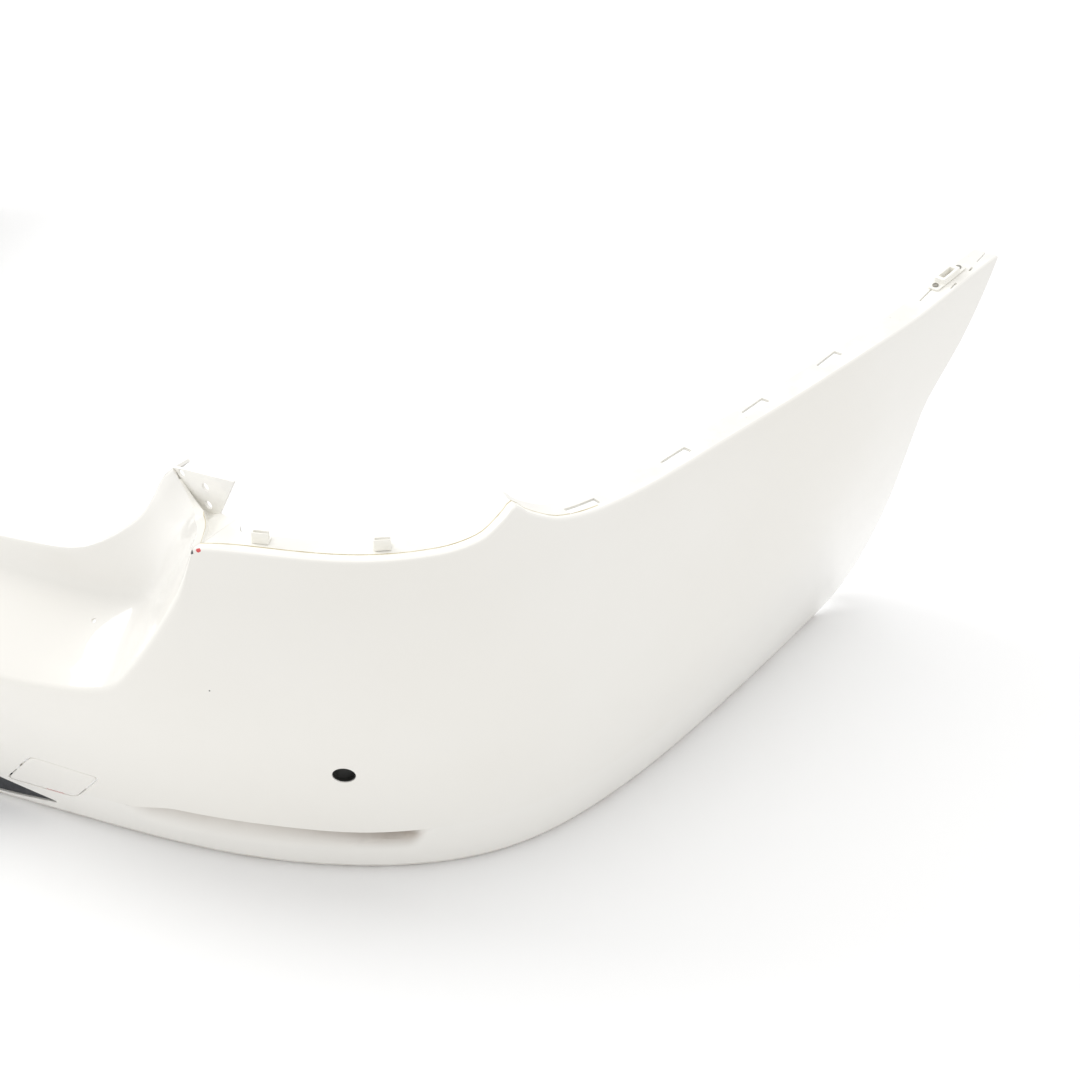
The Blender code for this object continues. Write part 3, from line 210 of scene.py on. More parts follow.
# ---------------------------------------------------------------- looks
WHITE, WHITE_AGED = (0.83, 0.815, 0.775), (0.81, 0.79, 0.74)
# the second colour on the next line stands for dust and painted shade in hollows, and for handling marks on
# bare plastic
CREAM, DUST_AND_SHADE = (0.92, 0.905, 0.85), (0.42, 0.35, 0.28)
# on the next line, the first two colours paint a crease line that is partly dirt and partly painted shade;
# the last paints dirt and painted shade in the scoop
GRIME_AND_SHADE, GRIME_AND_SHADE_PALE, SOIL_AND_SHADE = (0.42, 0.34, 0.16), (0.70, 0.64, 0.46), (0.22, 0.155, 0.10)
INSIDE, INSIDE_DARK = (0.66, 0.65, 0.61), (0.52, 0.51, 0.48)
BLACK, BLACK_WORN = (0.020, 0.022, 0.027), (0.032, 0.034, 0.040)
SATIN, SATIN_WORN, CREAM_WORN = (0.02, 0.02, 0.018), (0.045, 0.045, 0.042), (0.88, 0.86, 0.79)
STEEL, STEEL_DARK = (0.42, 0.41, 0.38), (0.24, 0.22, 0.18)
CHIP_DARK, CHIP_RED = (0.03, 0.03, 0.035), (0.62, 0.06, 0.06)
FLOOR = (0.96, 0.96, 0.96)
# dirt and painted shade in the scoop, darkest under the crisp edge: its heights, its fade in x and in y
# from the scoop's ends, where it gets deeper
SOIL_AND_SHADE_HEIGHTS, SOIL_AND_SHADE_START, SOIL_AND_SHADE_END = (0.036, 0.077), np.array([-0.004, 0.030]), np.array([-0.012, 0.0])
SOIL_AND_SHADE_DEEP, SOIL_AND_SHADE_SHARES = np.array([-0.10, -0.01]), (0.50, 0.95)
GLOSS, COAT_ROUGHNESS = (0.285, 0.33), 0.03        # roughness under the clear coat, and the coat's
DUST_AND_SHADE_REACH, CHIP_EDGE = 0.02, (1.45, 1.55)         # hollows that get dust and painted shade; ragged edge of a chip
WORLD_LIGHT = 0.95
# name, place, size and power
SOFT_BOXES = [("top_box", (0.2, 0.6, 3.2), 2.6, 18.0), ("left_box", (-2.4, -0.9, 2.2), 1.8, 40.0)]
CAMERA_ANGLES, CAMERA_DISTANCE, CAMERA_LENS = (36.0, 38.0), 2.2, 66.67
CAMERA_AIM = (0.643, 0.51, 0.216)

PAINT_ZONE, BARE_ZONE, GRIME_AND_SHADE_ZONE, SCOOP_ZONE, INSIDE_ZONE = range(5)       # the skin's materials
SCOOP_ROWS = range(7, 21)     # rows of a face column from the lower fold to the crisp edge

# ---------------------------------------------------------------- curves
def smooth_curve(knots, values):
    """Natural cubic spline through the knots; values may be vectors."""
    k = np.asarray(knots, float)
    v = np.asarray(values, float).reshape(len(k), -1)
    n = len(k)
    h = np.diff(k)
    a = np.eye(n)
    b = np.zeros_like(v)
    for i in range(1, n - 1):
        a[i, i - 1:i + 2] = h[i - 1], 2 * (h[i - 1] + h[i]), h[i]
        b[i] = 6 * ((v[i + 1] - v[i]) / h[i] - (v[i] - v[i - 1]) / h[i - 1])
    m = np.linalg.solve(a, b)

    def value(x):
        x = np.asarray(x, float)
        j = np.clip(np.searchsorted(k, x, side="right") - 1, 0, n - 2)
        width = h[j][..., None]
        p = (k[j + 1] - x)[..., None] / width
        q = 1 - p
        bend = (p ** 3 - p) * m[j] + (q ** 3 - q) * m[j + 1]
        return p * v[j] + q * v[j + 1] + bend * width * width / 6
    return value


def tidy_curve(points):
    """Cubic through (x, value...) points that never overshoots them."""
    pts = np.asarray(points, float)
    k, v = pts[:, 0], pts[:, 1:]
    h = np.diff(k)[:, None]
    slope = np.diff(v, axis=0) / h
    d = np.zeros_like(v)
    d[0], d[-1] = slope[0], slope[-1]
    w1, w2 = 2 * h[1:] + h[:-1], h[1:] + 2 * h[:-1]
    same = slope[:-1] * slope[1:] > 0
    safe_a = np.where(same, slope[:-1], 1.0)
    safe_b = np.where(same, slope[1:], 1.0)
    d[1:-1] = np.where(same, (w1 + w2) / (w1 / safe_a + w2 / safe_b), 0.0)

    def value(x):
        x = np.asarray(x, float)
        j = np.clip(np.searchsorted(k, x, side="right") - 1, 0, len(k) - 2)
        width = h[j]
        t = np.clip((x - k[j])[..., None] / width, 0, 1)
        out = ((1 + 2 * t) * (1 - t) ** 2 * v[j] + t * (1 - t) ** 2 * width * d[j]
               + t * t * (3 - 2 * t) * v[j + 1] - t * t * (1 - t) * width * d[j + 1])
        return out[..., 0] if v.shape[1] == 1 else out
    return value


def arc_length_curve(points):
    """Spline through plan points of the right half, mirrored, with s as its true length."""
    half = np.asarray(points, float)
    full = np.vstack([half[::-1] * [-1, 1], half[1:]])
    chord = np.r_[0, np.cumsum(np.linalg.norm(np.diff(full, axis=0), axis=1))]
    chord -= chord[len(half) - 1]
    raw = smooth_curve(chord, full)
    fine = np.linspace(chord[0], chord[-1], 4001)
    steps = np.linalg.norm(np.diff(raw(fine), axis=0), axis=1)
    length = np.r_[0, np.cumsum(steps)]
    length -= np.interp(0, fine, length)
    return lambda s: raw(np.interp(s, length, fine))


plan = arc_length_curve(HALF_PLAN)
rear_section = smooth_curve(SECTION_Z, REAR_SECTION)
front_section = smooth_curve(SECTION_Z, FRONT_SECTION)
top_edge = tidy_curve(TOP_EDGE)
dish_foot = tidy_curve(DISH_FOOT)
shut_line = tidy_curve(SHUT_LINE)
arch_edge = tidy_curve(ARCH_EDGE)
scoop_top = tidy_curve(SCOOP_TOP)
scoop_foot = tidy_curve(SCOOP_FOOT)
scoop_depth = tidy_curve(SCOOP_DEPTH)
insert_top_curve = tidy_curve(INSERT_TOP)
insert_foot_curve = tidy_curve(INSERT_FOOT)
INSERT_END = INSERT_TOP[-1][0]


def normal(s):
    """Outward normal of the lower edge in plan."""
    step = 1e-4
    along = plan(s + step) - plan(s - step)
    along = along / np.linalg.norm(along, axis=-1, keepdims=True)
    return np.stack([along[..., 1], -along[..., 0]], -1)


def offset(s, z):
    """How far the outer face stands off the lower edge."""
    flare = np.clip((np.abs(s) - FLARE_START) / (FLARE_END - FLARE_START), 0, 1) ** FLARE_POWER
    rear, front = rear_section(z)[..., 0], front_section(z)[..., 0]
    return rear + (front - rear) * flare


REAR_Y = float(plan(0.0)[1] - rear_section(np.linspace(0, 0.5, 501)).max())
TIP_S, TIP_Z = TOP_EDGE[-1]
FRONT_Y = float(plan(TIP_S)[1] + normal(TIP_S)[1] * offset(TIP_S, np.array(TIP_Z))) + TIP_REACH
SHIFT_Y = -(REAR_Y + FRONT_Y) / 2      # puts the origin at the middle of the footprint
SHIFT = Vector((0, SHIFT_Y, 0))
TURN_X = Matrix.Rotation(math.radians(90), 4, "X")


def face(s, z, out=0.0):
    """Point on the outer face, moved outwards by out."""
    s, z = np.broadcast_arrays(np.asarray(s, float), np.asarray(z, float))
    p = plan(s) + normal(s) * (offset(s, z) + out)[..., None]
    return np.concatenate([p, z[..., None]], -1)


def inward(s, z, distance, drop=0.0):
    """Point level with the face at (s, z), moved inwards and down."""
    p = face(s, z, -distance)
    p[..., 2] -= drop
    return p


def smooth_step(t):
    t = min(max(t, 0.0), 1.0)
    return t * t * (3 - 2 * t)


def fold(start, corner, end, count):
    """Points that round a corner from start to end, both included."""
    t = np.linspace(0, 1, count)[:, None]
    start, corner, end = (np.asarray(p, float) for p in (start, corner, end))
    return list((1 - t) ** 2 * start + 2 * t * (1 - t) * corner + t * t * end)


def towards(a, b, distance):
    """Point at a distance from a towards b, at most half way."""
    a, b = np.asarray(a, float), np.asarray(b, float)
    length = np.linalg.norm(b - a)
    return a + (b - a) / length * min(distance, length / 2)


# ---------------------------------------------------------------- skin surface
def scoop(s, z):
    """Depth of the lower scoop at a point of the face."""
    if not SCOOP_FOOT[0][0] < s < SCOOP_FOOT[-1][0]:
        return 0.0
    top, foot = float(scoop_top(s)), float(scoop_foot(s))
    if z >= top or z <= foot:
        return 0.0
    return float(scoop_depth(s)) * smooth_step((z - foot) / (top - SCOOP_UNDERCUT - foot))


def edge_fold(sigma):
    """Fold radius at the top edge, and the way across it in (s, height)."""
    slope = float(top_edge(sigma + 5e-4) - top_edge(sigma - 5e-4)) / 1e-3
    length = math.hypot(1.0, slope)
    taper = min(max((POST_S - sigma) / LIP_TAPER, 0.0), 1.0)
    radius = LAMP_FOLD + (LIP_FOLD - LAMP_FOLD) * taper
    return radius * slope / length * taper, -radius / length


def lean(sigma, z):
    """Surface s of column sigma at height z.

    Columns fan out towards the wheel arch, and meet the steep side of the dish squarely.
    """
    if sigma > FAN_START:
        share = (sigma - FAN_START) / (TIP_S - FAN_START)
        return FAN_START + (float(arch_edge(z)) - FAN_START) * share
    if sigma >= POST_S or z <= MID_Z:
        return sigma
    across, down = edge_fold(sigma)
    return sigma + across * ((z - MID_Z) / (float(top_edge(sigma)) + down - MID_Z)) ** 2


def face_heights(sigma, top):
    """Heights of the rows of one column between the lower fold and the top fold."""
    crisp = float(scoop_top(sigma))
    foot = crisp - SCOOP_UNDERCUT
    heights = list(np.linspace(BOTTOM_FOLD, foot, FACE_ROWS[0]))
    heights += [foot + SCOOP_UNDERCUT * t for t in (0.25, 0.5, 0.75)]
    heights += list(np.linspace(crisp, MID_Z, FACE_ROWS[1]))
    heights += list(np.linspace(MID_Z, top, FACE_ROWS[2])[1:])
    return heights


def face_column(sigma, top):
    """Outer face of one column, from the inner edge of the bottom flange up to the top fold."""
    points = []
    for z in face_heights(sigma, top):
        s = lean(sigma, z)
        points.append(face(s, z, -scoop(s, z)))
    s = lean(sigma, 0.0)
    lower = fold(face(s, 0.0, -BOTTOM_FOLD), face(s, 0.0), points[0], BOTTOM_STEPS)
    return [face(s, 0.0, -BOTTOM_FLANGE)] + lower[:-1] + points


def dish_column(sigma, edge, below):
    """Dish of one column, from the lip over its slope and wall to the flange at the shut line."""
    foot, shut = dish_foot(sigma), shut_line(sigma)
    inner = shut + np.array([0.0, SHUT_FLANGE, -SHUT_DROP])
    lip = fold(below, edge, towards(edge, foot, np.linalg.norm(edge - below)), DISH_LIP_STEPS)
    bend = min(FOOT_FOLD, np.linalg.norm(foot - edge) / 3)
    hollow = fold(towards(foot, edge, bend), foot, towards(foot, shut, bend), FOOT_STEPS)
    slope = [lip[-1] + (hollow[0] - lip[-1]) * t for t in (0.2, 0.4, 0.6, 0.8)]
    shoulder = fold(towards(shut, foot, SHUT_FOLD), shut, towards(shut, inner, SHUT_FOLD), SHUT_STEPS)
    sag = np.array(WALL_SAG) * smooth_step((sigma - WALL_SAG_START) / (POST_S - WALL_SAG_START))
    shares = np.linspace(0, 1, WALL_ROWS)[1:-1]
    wall = [hollow[-1] + (shoulder[0] - hollow[-1]) * t + sag * 4 * t * (1 - t) for t in shares]
    return lip[1:] + slope + hollow + wall + shoulder + [inner]


def strip_widths(sigma):
    """Ledge, step and flange of the top strip, which is plainer along the side."""
    side = smooth_step((sigma - PEAK_S) / SIDE_CHANGE)
    ledge = LEDGE + (SIDE_LEDGE - LEDGE) * side
    step = STEP + (SIDE_STEP - STEP) * side
    return ledge, step, TOP_FLANGE


def strip_column(sigma, edge, below):
    """Ledge, step and flange of one column beyond the lamp cut-out's or the side's edge."""
    ledge, step, flange = strip_widths(sigma)
    s, z = lean(sigma, edge[2]), edge[2]
    ledge_end = inward(s, z, ledge, LEDGE_DROP)
    step_end = inward(s, z, ledge + STEP, step)
    rim = inward(s, z, ledge + flange, step + FLANGE_DROP)
    lip = fold(below, edge, towards(edge, ledge_end, LAMP_FOLD), LIP_STEPS + 1)
    return lip[1:] + [towards(ledge_end, lip[-1], CREASE), ledge_end, step_end, rim]


def post_strip(point, below=None):
    """Strip forwards from the post's edge at one point, down into a channel, to the upright flange."""
    depth = PLATE_Y + PLATE_T / 2 - point[1]
    ledge = min(LEDGE, POST_LEDGE_SHARE * depth)
    drop = STEP + POST_CHANNEL * min(1.0, POST_CHANNEL_RISE * (1 - depth / POST_DEPTH))
    drop *= smooth_step(depth / POST_CLEAR)
    ledge_end = point + np.array([0.0, ledge, -LEDGE_DROP])
    step_end = ledge_end + np.array([0.0, min(STEP, ledge), -drop])
    rim = point + np.array([0.0, depth, -drop - FLANGE_DROP])
    if below is None:
        lip = [point + (ledge_end - point) * i / (LIP_STEPS + 1) for i in range(LIP_STEPS + 1)]
    else:
        lip = fold(below, point, towards(point, ledge_end, LAMP_FOLD), LIP_STEPS + 1)
    return lip[1:] + [towards(ledge_end, lip[-1], CREASE), ledge_end, step_end, rim]


def grid_faces(columns, zone, flip=False):
    """Quads between neighbouring columns of equal length, each with its zone's number."""
    quads = []
    for left, right in zip(columns, columns[1:]):
        for i in range(len(left) - 1):
            quad = (left[i], right[i], right[i + 1], left[i + 1])
            quads.append((quad[::-1] if flip else quad, zone(i)))
    return quads


def face_zone(row):
    if row in SCOOP_ROWS:
        return SCOOP_ZONE
    return PAINT_ZONE if row else BARE_ZONE


def blended_strip(sigma, edge, below):
    """Strip of one lamp column, which turns into the post's strip close to the post."""
    strip = strip_column(sigma, edge, below)
    share = smooth_step((sigma - POST_S) / POST_BLEND)
    return [post * (1 - share) + own * share for post, own in zip(post_strip(edge, below), strip)]


def strip_zone(row):
    """Paint on the rounded lip, then bare plastic with a line of grime and painted shade along the step."""
    return PAINT_ZONE if row < LIP_STEPS else post_zone(row)


def post_zone(row):
    # the row along the step or channel gets the crease line of dirt and painted shade
    return GRIME_AND_SHADE_ZONE if row == LIP_STEPS + 1 else BARE_ZONE


def relax(columns):
    """Even out the dish between its lip and its shoulder, without moving its outline."""
    inner = slice(DISH_LIP_STEPS + 1, -SHUT_STEPS - 1)
    grid = np.array(columns)
    for _ in range(RELAX_ROUNDS):
        mean = sum(np.roll(grid, way, axis=axis) for axis in (0, 1) for way in (1, -1)) / 4
        grid[1:-1, inner] = (grid[1:-1, inner] + mean[1:-1, inner]) / 2
        grid[0, inner, 1:] = grid[1, inner, 1:]
    for column, row in zip(columns, grid):
        column[:] = list(row)


def half_skin(sigmas):
    """Quads of the right half of the skin's outer surface, with their zones."""
    faces, dishes, lamp_strips, side_strips = [], [], [], []
    for sigma in sigmas:
        top = float(top_edge(sigma))
        edge = face(sigma if sigma <= FAN_START else lean(sigma, top), top)
        down = edge_fold(sigma)[1] if sigma < POST_S else -LAMP_FOLD
        column = face_column(sigma, top + down)
        faces.append(column)
        if sigma <= POST_S:
            dishes.append([column[-1]] + dish_column(sigma, edge, column[-1]))
        if sigma == POST_S:
            lamp_strips.append([column[-1]] + post_strip(edge, column[-1]))
        if sigma > POST_S:
            strip = [column[-1]] + blended_strip(sigma, edge, column[-1])
            if sigma <= FAN_START:
                lamp_strips.append(strip)
            if sigma >= FAN_START:
                side_strips.append(strip)
    relax(dishes)
    edge_points = [p for p in dishes[-1][1:-SHUT_STEPS] if p[1] < PLATE_Y - POST_END]
    deep = sum(p[1] < PLATE_Y - POST_CLEAR for p in edge_points)
    post = [lamp_strips[0]] + [[point] + post_strip(point) for point in edge_points]
    arch = []
    for corner in faces[-1][BOTTOM_STEPS:]:
        s = float(arch_edge(corner[2]))
        back = [inward(s, corner[2], ARCH_FLANGE * t) for t in ARCH_ROWS]
        arch.append([corner] + back)
    last_dish = len(dishes[0]) - 2
    quads = grid_faces(faces, face_zone)
    quads += grid_faces(dishes, lambda row: BARE_ZONE if row == last_dish else PAINT_ZONE)
    quads += grid_faces(lamp_strips, strip_zone)
    quads += grid_faces(side_strips, lambda row: PAINT_ZONE if row < LIP_STEPS else BARE_ZONE)
    quads += grid_faces(post[:deep + 1], post_zone, flip=True)
    quads += grid_faces(post[deep:], lambda row: BARE_ZONE, flip=True)
    quads += grid_faces(arch[1:-1], lambda row: BARE_ZONE, flip=True)
    return quads


# small chips and marks on the paint: (s, height, radius, colour)
CHIP_MARKS = [(POST_S - 0.001, 0.424, 0.0024, CHIP_DARK), (POST_S + 0.006, 0.4265, 0.0022, CHIP_RED),
              (0.575, 0.285, 0.0008, CHIP_DARK), (0.4465, 0.049, 0.0013, CHIP_DARK)]
CHIP_MARKS += [(0.348 + 0.0035 * i, 0.0455, 0.0025, CHIP_RED) for i in range(6)]
PAINT_CHIPS = [(face(s, z) + [0.0, SHIFT_Y, 0.0], radius, colour) for s, z, radius, colour in CHIP_MARKS]


# ---------------------------------------------------------------- helpers for pieces
def axes_frame(x, y, z, origin):
    """Matrix with the given axes, its origin moved to where the part stands."""
    matrix = Matrix((x, y, z)).transposed().to_4x4()
    matrix.translation = Vector(origin) + SHIFT
    return matrix


def frame_at(s, z):
    """Matrix with its origin on the face, +Z straight out of it, +X along s."""
    step = 1e-3
    along = Vector(face(s + step, z) - face(s - step, z)).normalized()
    up = Vector(face(s, z + step) - face(s, z - step)).normalized()
    outward = along.cross(up).normalized()
    return axes_frame(along, outward.cross(along), outward, face(s, z))


def add_piece(name, bm, materials):
    """New object from a bmesh, with its faces turned outwards."""
    bmesh.ops.recalc_face_normals(bm, faces=bm.faces)
    mesh = bpy.data.meshes.new(name)
    bm.to_mesh(mesh)
    bm.free()
    piece = bpy.data.objects.new(name, mesh)
    bpy.context.scene.collection.objects.link(piece)
    for mat in materials:
        mesh.materials.append(mat)
    return piece


def apply_modifiers(piece):
    """Replace the piece's mesh with its evaluated one."""
    graph = bpy.context.evaluated_depsgraph_get()
    mesh = bpy.data.meshes.new_from_object(piece.evaluated_get(graph))
    piece.modifiers.clear()
    piece.data = mesh


def join_or_cut(piece, bm, operation, zone=0):
    """Boolean of the piece with a bmesh, whose faces take one of the piece's materials."""
    for bm_face in bm.faces:
        bm_face.material_index = zone
    tool = add_piece("tool", bm, piece.data.materials[:])
    modifier = piece.modifiers.new("boolean", "BOOLEAN")
    modifier.operation = operation
    modifier.solver = "EXACT"
    modifier.use_self = operation == "UNION"
    modifier.object = tool
    apply_modifiers(piece)
    bpy.data.objects.remove(tool)


def soften(piece, width):
    """Narrow rounded bevel on every sharp edge."""
    bevel = piece.modifiers.new("soft_edges", "BEVEL")
    bevel.width = width
    bevel.segments = 2
    bevel.limit_method = "ANGLE"
    bevel.angle_limit = SOFT_ANGLE
    apply_modifiers(piece)


def finish_piece(piece, body, nodes):
    """Smooth shading between sharp edges, and the piece's place in the frame."""
    piece.data.shade_smooth()
    piece.data.set_sharp_from_angle(angle=SHARP_ANGLE)
    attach(piece, body)
    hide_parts(*nodes)


def new_ring(bm, points, matrix):
    return [bm.verts.new(matrix @ Vector(p)) for p in points]


def face_ring(bm, points):
    """Vertices at (s, height, distance outwards from the face)."""
    return [bm.verts.new(Vector(face(s, z, out)) + SHIFT) for s, z, out in points]


def bridge(bm, low, high):
    """Quads between two closed rings of vertices."""
    for i in range(len(low)):
        j = (i + 1) % len(low)
        bm.faces.new((low[i], low[j], high[j], high[i]))


def add_stack(bm, rings):
    """Closed solid through rings of vertices that follow each other; returns its end faces."""
    for low, high in zip(rings, rings[1:]):
        bridge(bm, low, high)
    return [bm.faces.new(rings[0][::-1]), bm.faces.new(rings[-1])]


def add_prism(bm, outline, low, high, matrix):
    """Closed prism over a flat outline of (x, y) points, between two heights."""
    add_stack(bm, [new_ring(bm, [(x, y, h) for x, y in outline], matrix) for h in (low, high)])


def rectangle(length, width):
    return [(-length / 2, -width / 2), (length / 2, -width / 2), (length / 2, width / 2),
            (-length / 2, width / 2)]


def add_box(bm, low, high, matrix):
    outline = [(low[0], low[1]), (high[0], low[1]), (high[0], high[1]), (low[0], high[1])]
    add_prism(bm, outline, low[2], high[2], matrix)


def add_turned(bm, profile_at, matrix, count):
    """Closed ring about the matrix's Z axis, with a closed (radius, height) profile at each turn."""
    rings = []
    for turn in turns(count):
        points = [(r * math.cos(turn), r * math.sin(turn), z) for r, z in profile_at(turn)]
        rings.append(new_ring(bm, points, matrix))
    for i, ring in enumerate(rings):
        bridge(bm, rings[i - 1], ring)


def add_lathe(bm, profile, matrix, count):
    """Closed solid of revolution with flat ends, from (radius, height) steps going up."""
    outlines = [[(x, y, height) for x, y in circle(radius, count)] for radius, height in profile]
    add_stack(bm, [new_ring(bm, outline, matrix) for outline in outlines])


def circle(radius, count):
    return [(radius * math.cos(turn), radius * math.sin(turn)) for turn in turns(count)]


def turns(count):
    return [2 * math.pi * i / count for i in range(count)]


def rounded(corners, radius, steps=4):
    """Outline of a polygon whose corners are rounded with short curves."""
    points = []
    count = len(corners)
    for i, corner in enumerate(corners):
        before, after = corners[i - 1], corners[(i + 1) % count]
        start, end = towards(corner, before, radius), towards(corner, after, radius)
        points += fold(start, corner, end, steps + 1)
    return [tuple(p) for p in points]


def grow(corners, amount):
    """Convex polygon, anticlockwise, with every side moved outwards."""
    lines = []
    count = len(corners)
    for i in range(count):
        a, b = np.array(corners[i]), np.array(corners[(i + 1) % count])
        along = (b - a) / np.linalg.norm(b - a)
        lines.append((a + np.array([along[1], -along[0]]) * amount, along))
    grown = []
    for i in range(count):
        (p, u), (q, v) = lines[i - 1], lines[i]
        t = np.linalg.solve(np.column_stack([u, -v]), q - p)[0]
        grown.append(tuple(p + u * t))
    return grown


def add_face_slab(bm, outline, low, high):
    """Closed slab that follows the face: an (s, z) outline between two distances from it."""
    caps = add_stack(bm, [face_ring(bm, [(s, z, out) for s, z in outline]) for out in (low, high)])
    bmesh.ops.triangulate(bm, faces=caps)


def add_crowned_slab(bm, corners, radius, rim):
    """Slab that follows the face closely, with a rim given as (growth, distance) steps outwards."""
    outlines = [rounded(grow(corners, growth), radius, 8) for growth, _ in rim]
    rings = [face_ring(bm, [(*p, out) for p in outline]) for outline, (_, out) in zip(outlines, rim)]
    for low, high in zip(rings, rings[1:]):
        bridge(bm, low, high)
    for end in (0, -1):
        outline, out, outer = np.array(outlines[end]), rim[end][1], rings[end]
        centre = outline.mean(axis=0)
        for share in CROWN_SHARES:
            inner = face_ring(bm, [(*(centre + (p - centre) * share), out) for p in outline])
            bridge(bm, outer, inner)
            outer = inner
        middle = face_ring(bm, [(*centre, out)])[0]
        for a, b in zip(outer, outer[1:] + outer[:1]):
            bm.faces.new((a, b, middle))


def add_face_band(bm, low_curve, high_curve, stations, reach):
    """Closed band that follows the face between two (s -> z) curves and two distances."""
    inner, outer = reach
    add_edged_band(bm, low_curve, high_curve, stations, [(0.0, inner), (0.0, outer)])


def add_edged_band(bm, low_curve, high_curve, stations, edge):
    """The same with edges shaped by (inset, distance) steps from the inner side outwards."""
    rings = []
    inside, outside = edge[0][1], edge[-1][1]
    for s in stations:
        foot, top = low_curve(s), high_curve(s)
        heights = np.linspace(foot + edge[-1][0], top - edge[-1][0], BAND_ROWS + 2)[1:-1]
        back = np.linspace(top, foot, BAND_ROWS + 2)[1:-1]
        corners = [(foot + inset, out) for inset, out in edge] + [(z, outside) for z in heights]
        corners += [(top - inset, out) for inset, out in edge[::-1]] + [(z, inside) for z in back]
        rings.append(face_ring(bm, [(s, z, out) for z, out in corners]))
    add_stack(bm, rings)


def mirrored(bm, build):
    """Run build on the right side and add its mirror image on the left."""
    for side in ("right", "left"):
        part = bmesh.new()
        build(part)
        flip_to(side, part)
        mesh = bpy.data.meshes.new("half")
        part.to_mesh(mesh)
        bm.from_mesh(mesh)
        bpy.data.meshes.remove(mesh)
        part.free()


def flip_to(side, bm):
    """Mirror a right-hand bmesh to the left when side asks for it."""
    if side == "left":
        bmesh.ops.scale(bm, vec=(-1, 1, 1), verts=bm.verts)
        bmesh.ops.reverse_faces(bm, faces=bm.faces)


def insert_top(s):
    return float(insert_top_curve(abs(s)))


def insert_foot(s):
    return float(insert_foot_curve(abs(s)))


def insert_stations(end):
    half = [end * (i / INSERT_COLUMNS) for i in range(1, INSERT_COLUMNS + 1)]
    return [-s for s in half[::-1]] + [0.0] + half


# ---------------------------------------------------------------- places
def plan_turn(s):
    """Rotation about Z that takes X along the lower edge and Y inwards."""
    return Matrix.Rotation(math.atan2(*(normal(s) * [1, -1])), 4, "Z")


def plate_frame(x, z):
    """Matrix on the upright flange's front side, +Z backwards through it."""
    return Matrix.Translation((x, PLATE_Y + SHIFT_Y + PLATE_T, z)) @ TURN_X


def side_s(y):
    """Surface s at which the top edge of the side reaches a given y."""
    s = np.linspace(*SIDE_S_RANGE, 701)
    return float(np.interp(y, face(s, SIDE_Z)[:, 1], s))


def arch_places():
    """Matrices on the wheel-arch flange, +Z forwards out of it, one for each screw."""
    places = []
    step = 0.002
    for z in ARCH_HOLE_Z:
        s = float(arch_edge(z))
        low, high = (face(float(arch_edge(h)), h) for h in (z - step, z + step))
        inside = Vector((*(-normal(s)), 0.0))
        forward = inside.cross(Vector(high - low)).normalized()
        if forward.y < 0:
            forward = -forward
        middle = inward(s, z, ARCH_FLANGE / 2 + ARCH_HOLE_SHIFT)
        places.append(axes_frame(inside, forward.cross(inside).normalized(), forward, middle))
    return places


def flange_places():
    """Matrices on the bottom flange, +Z up, one for each screw on the right side."""
    middles = [Vector(face(s, 0.0, FLANGE_HOLE_INSET - BOTTOM_FLANGE)) for s in FLANGE_HOLE_S]
    return [Matrix.Translation(p + SHIFT) @ plan_turn(s) for p, s in zip(middles, FLANGE_HOLE_S)]


def dish_place():
    """Matrix on the dish's slope near its outer end, +Z out of the surface."""
    foot = Vector(dish_foot(DISH_HOLE_S))
    lip = Vector(face(DISH_HOLE_S, float(top_edge(DISH_HOLE_S))))
    slope = (lip - foot).normalized()
    outward = slope.cross(Vector((1, DISH_HOLE_SKEW, 0))).normalized()
    return axes_frame(outward.cross(slope), slope, outward, foot + slope * DISH_HOLE_UP)


def stud_places():
    """Matrices on the face over each moulded stud of the right side, +Z out."""
    return [frame_at(s, insert_top(s) + STUD_UP) for s in STUD_S]


def tow_frame():
    """Matrix at the middle of the cover's inner edge: X into the cover, Y up the edge, Z out."""
    low, high = (Vector(face(*TOW_CORNERS[i])) for i in (0, 3))
    middle = [(a + b) / 2 for a, b in zip(TOW_CORNERS[0], TOW_CORNERS[3])]
    along = (high - low).normalized()
    across = along.cross(frame_at(*middle).col[2].xyz).normalized()
    return axes_frame(across, along, across.cross(along), (low + high) / 2)


def add_tow_hook(bm, frame, middle):
    """C-shaped hook that reaches round the opening's edge to the pivot behind the skin."""
    tip, deep, root = TOW_HOOK_LIP - TOW_AXIS_IN, -TOW_HOOK_DEEP, OVERLAP - TOW_RIM
    outer, inner = -TOW_AXIS_BACK - TOW_HOOK_T / 2, -TOW_AXIS_BACK + TOW_HOOK_T / 2
    outline = [(outer, tip), (outer, deep), (TOW_HOOK_ROOT, deep), (TOW_HOOK_ROOT, root),
               (TOW_HOOK_ROOT - TOW_HOOK_T, root), (TOW_HOOK_ROOT - TOW_HOOK_T, deep + TOW_HOOK_T),
               (inner, deep + TOW_HOOK_T), (inner, tip)]
    place = frame @ Matrix.Translation((0, middle, 0)) @ TURN_X
    add_prism(bm, outline, -TOW_HOOK_WIDTH / 2, TOW_HOOK_WIDTH / 2, place)


def add_tow_snap(bm):
    """Rib behind the outer edge that snaps into the opening."""
    low, high = TOW_CORNERS[1:3]
    slant = math.atan2(high[0] - low[0], high[1] - low[1])
    place = frame_at(*TOW_SNAP_AT) @ Matrix.Rotation(-slant, 4, "Z")
    thick, length, deep = TOW_SNAP
    add_box(bm, (-thick / 2, -length / 2, -deep), (thick / 2, length / 2, OVERLAP - TOW_RIM), place)


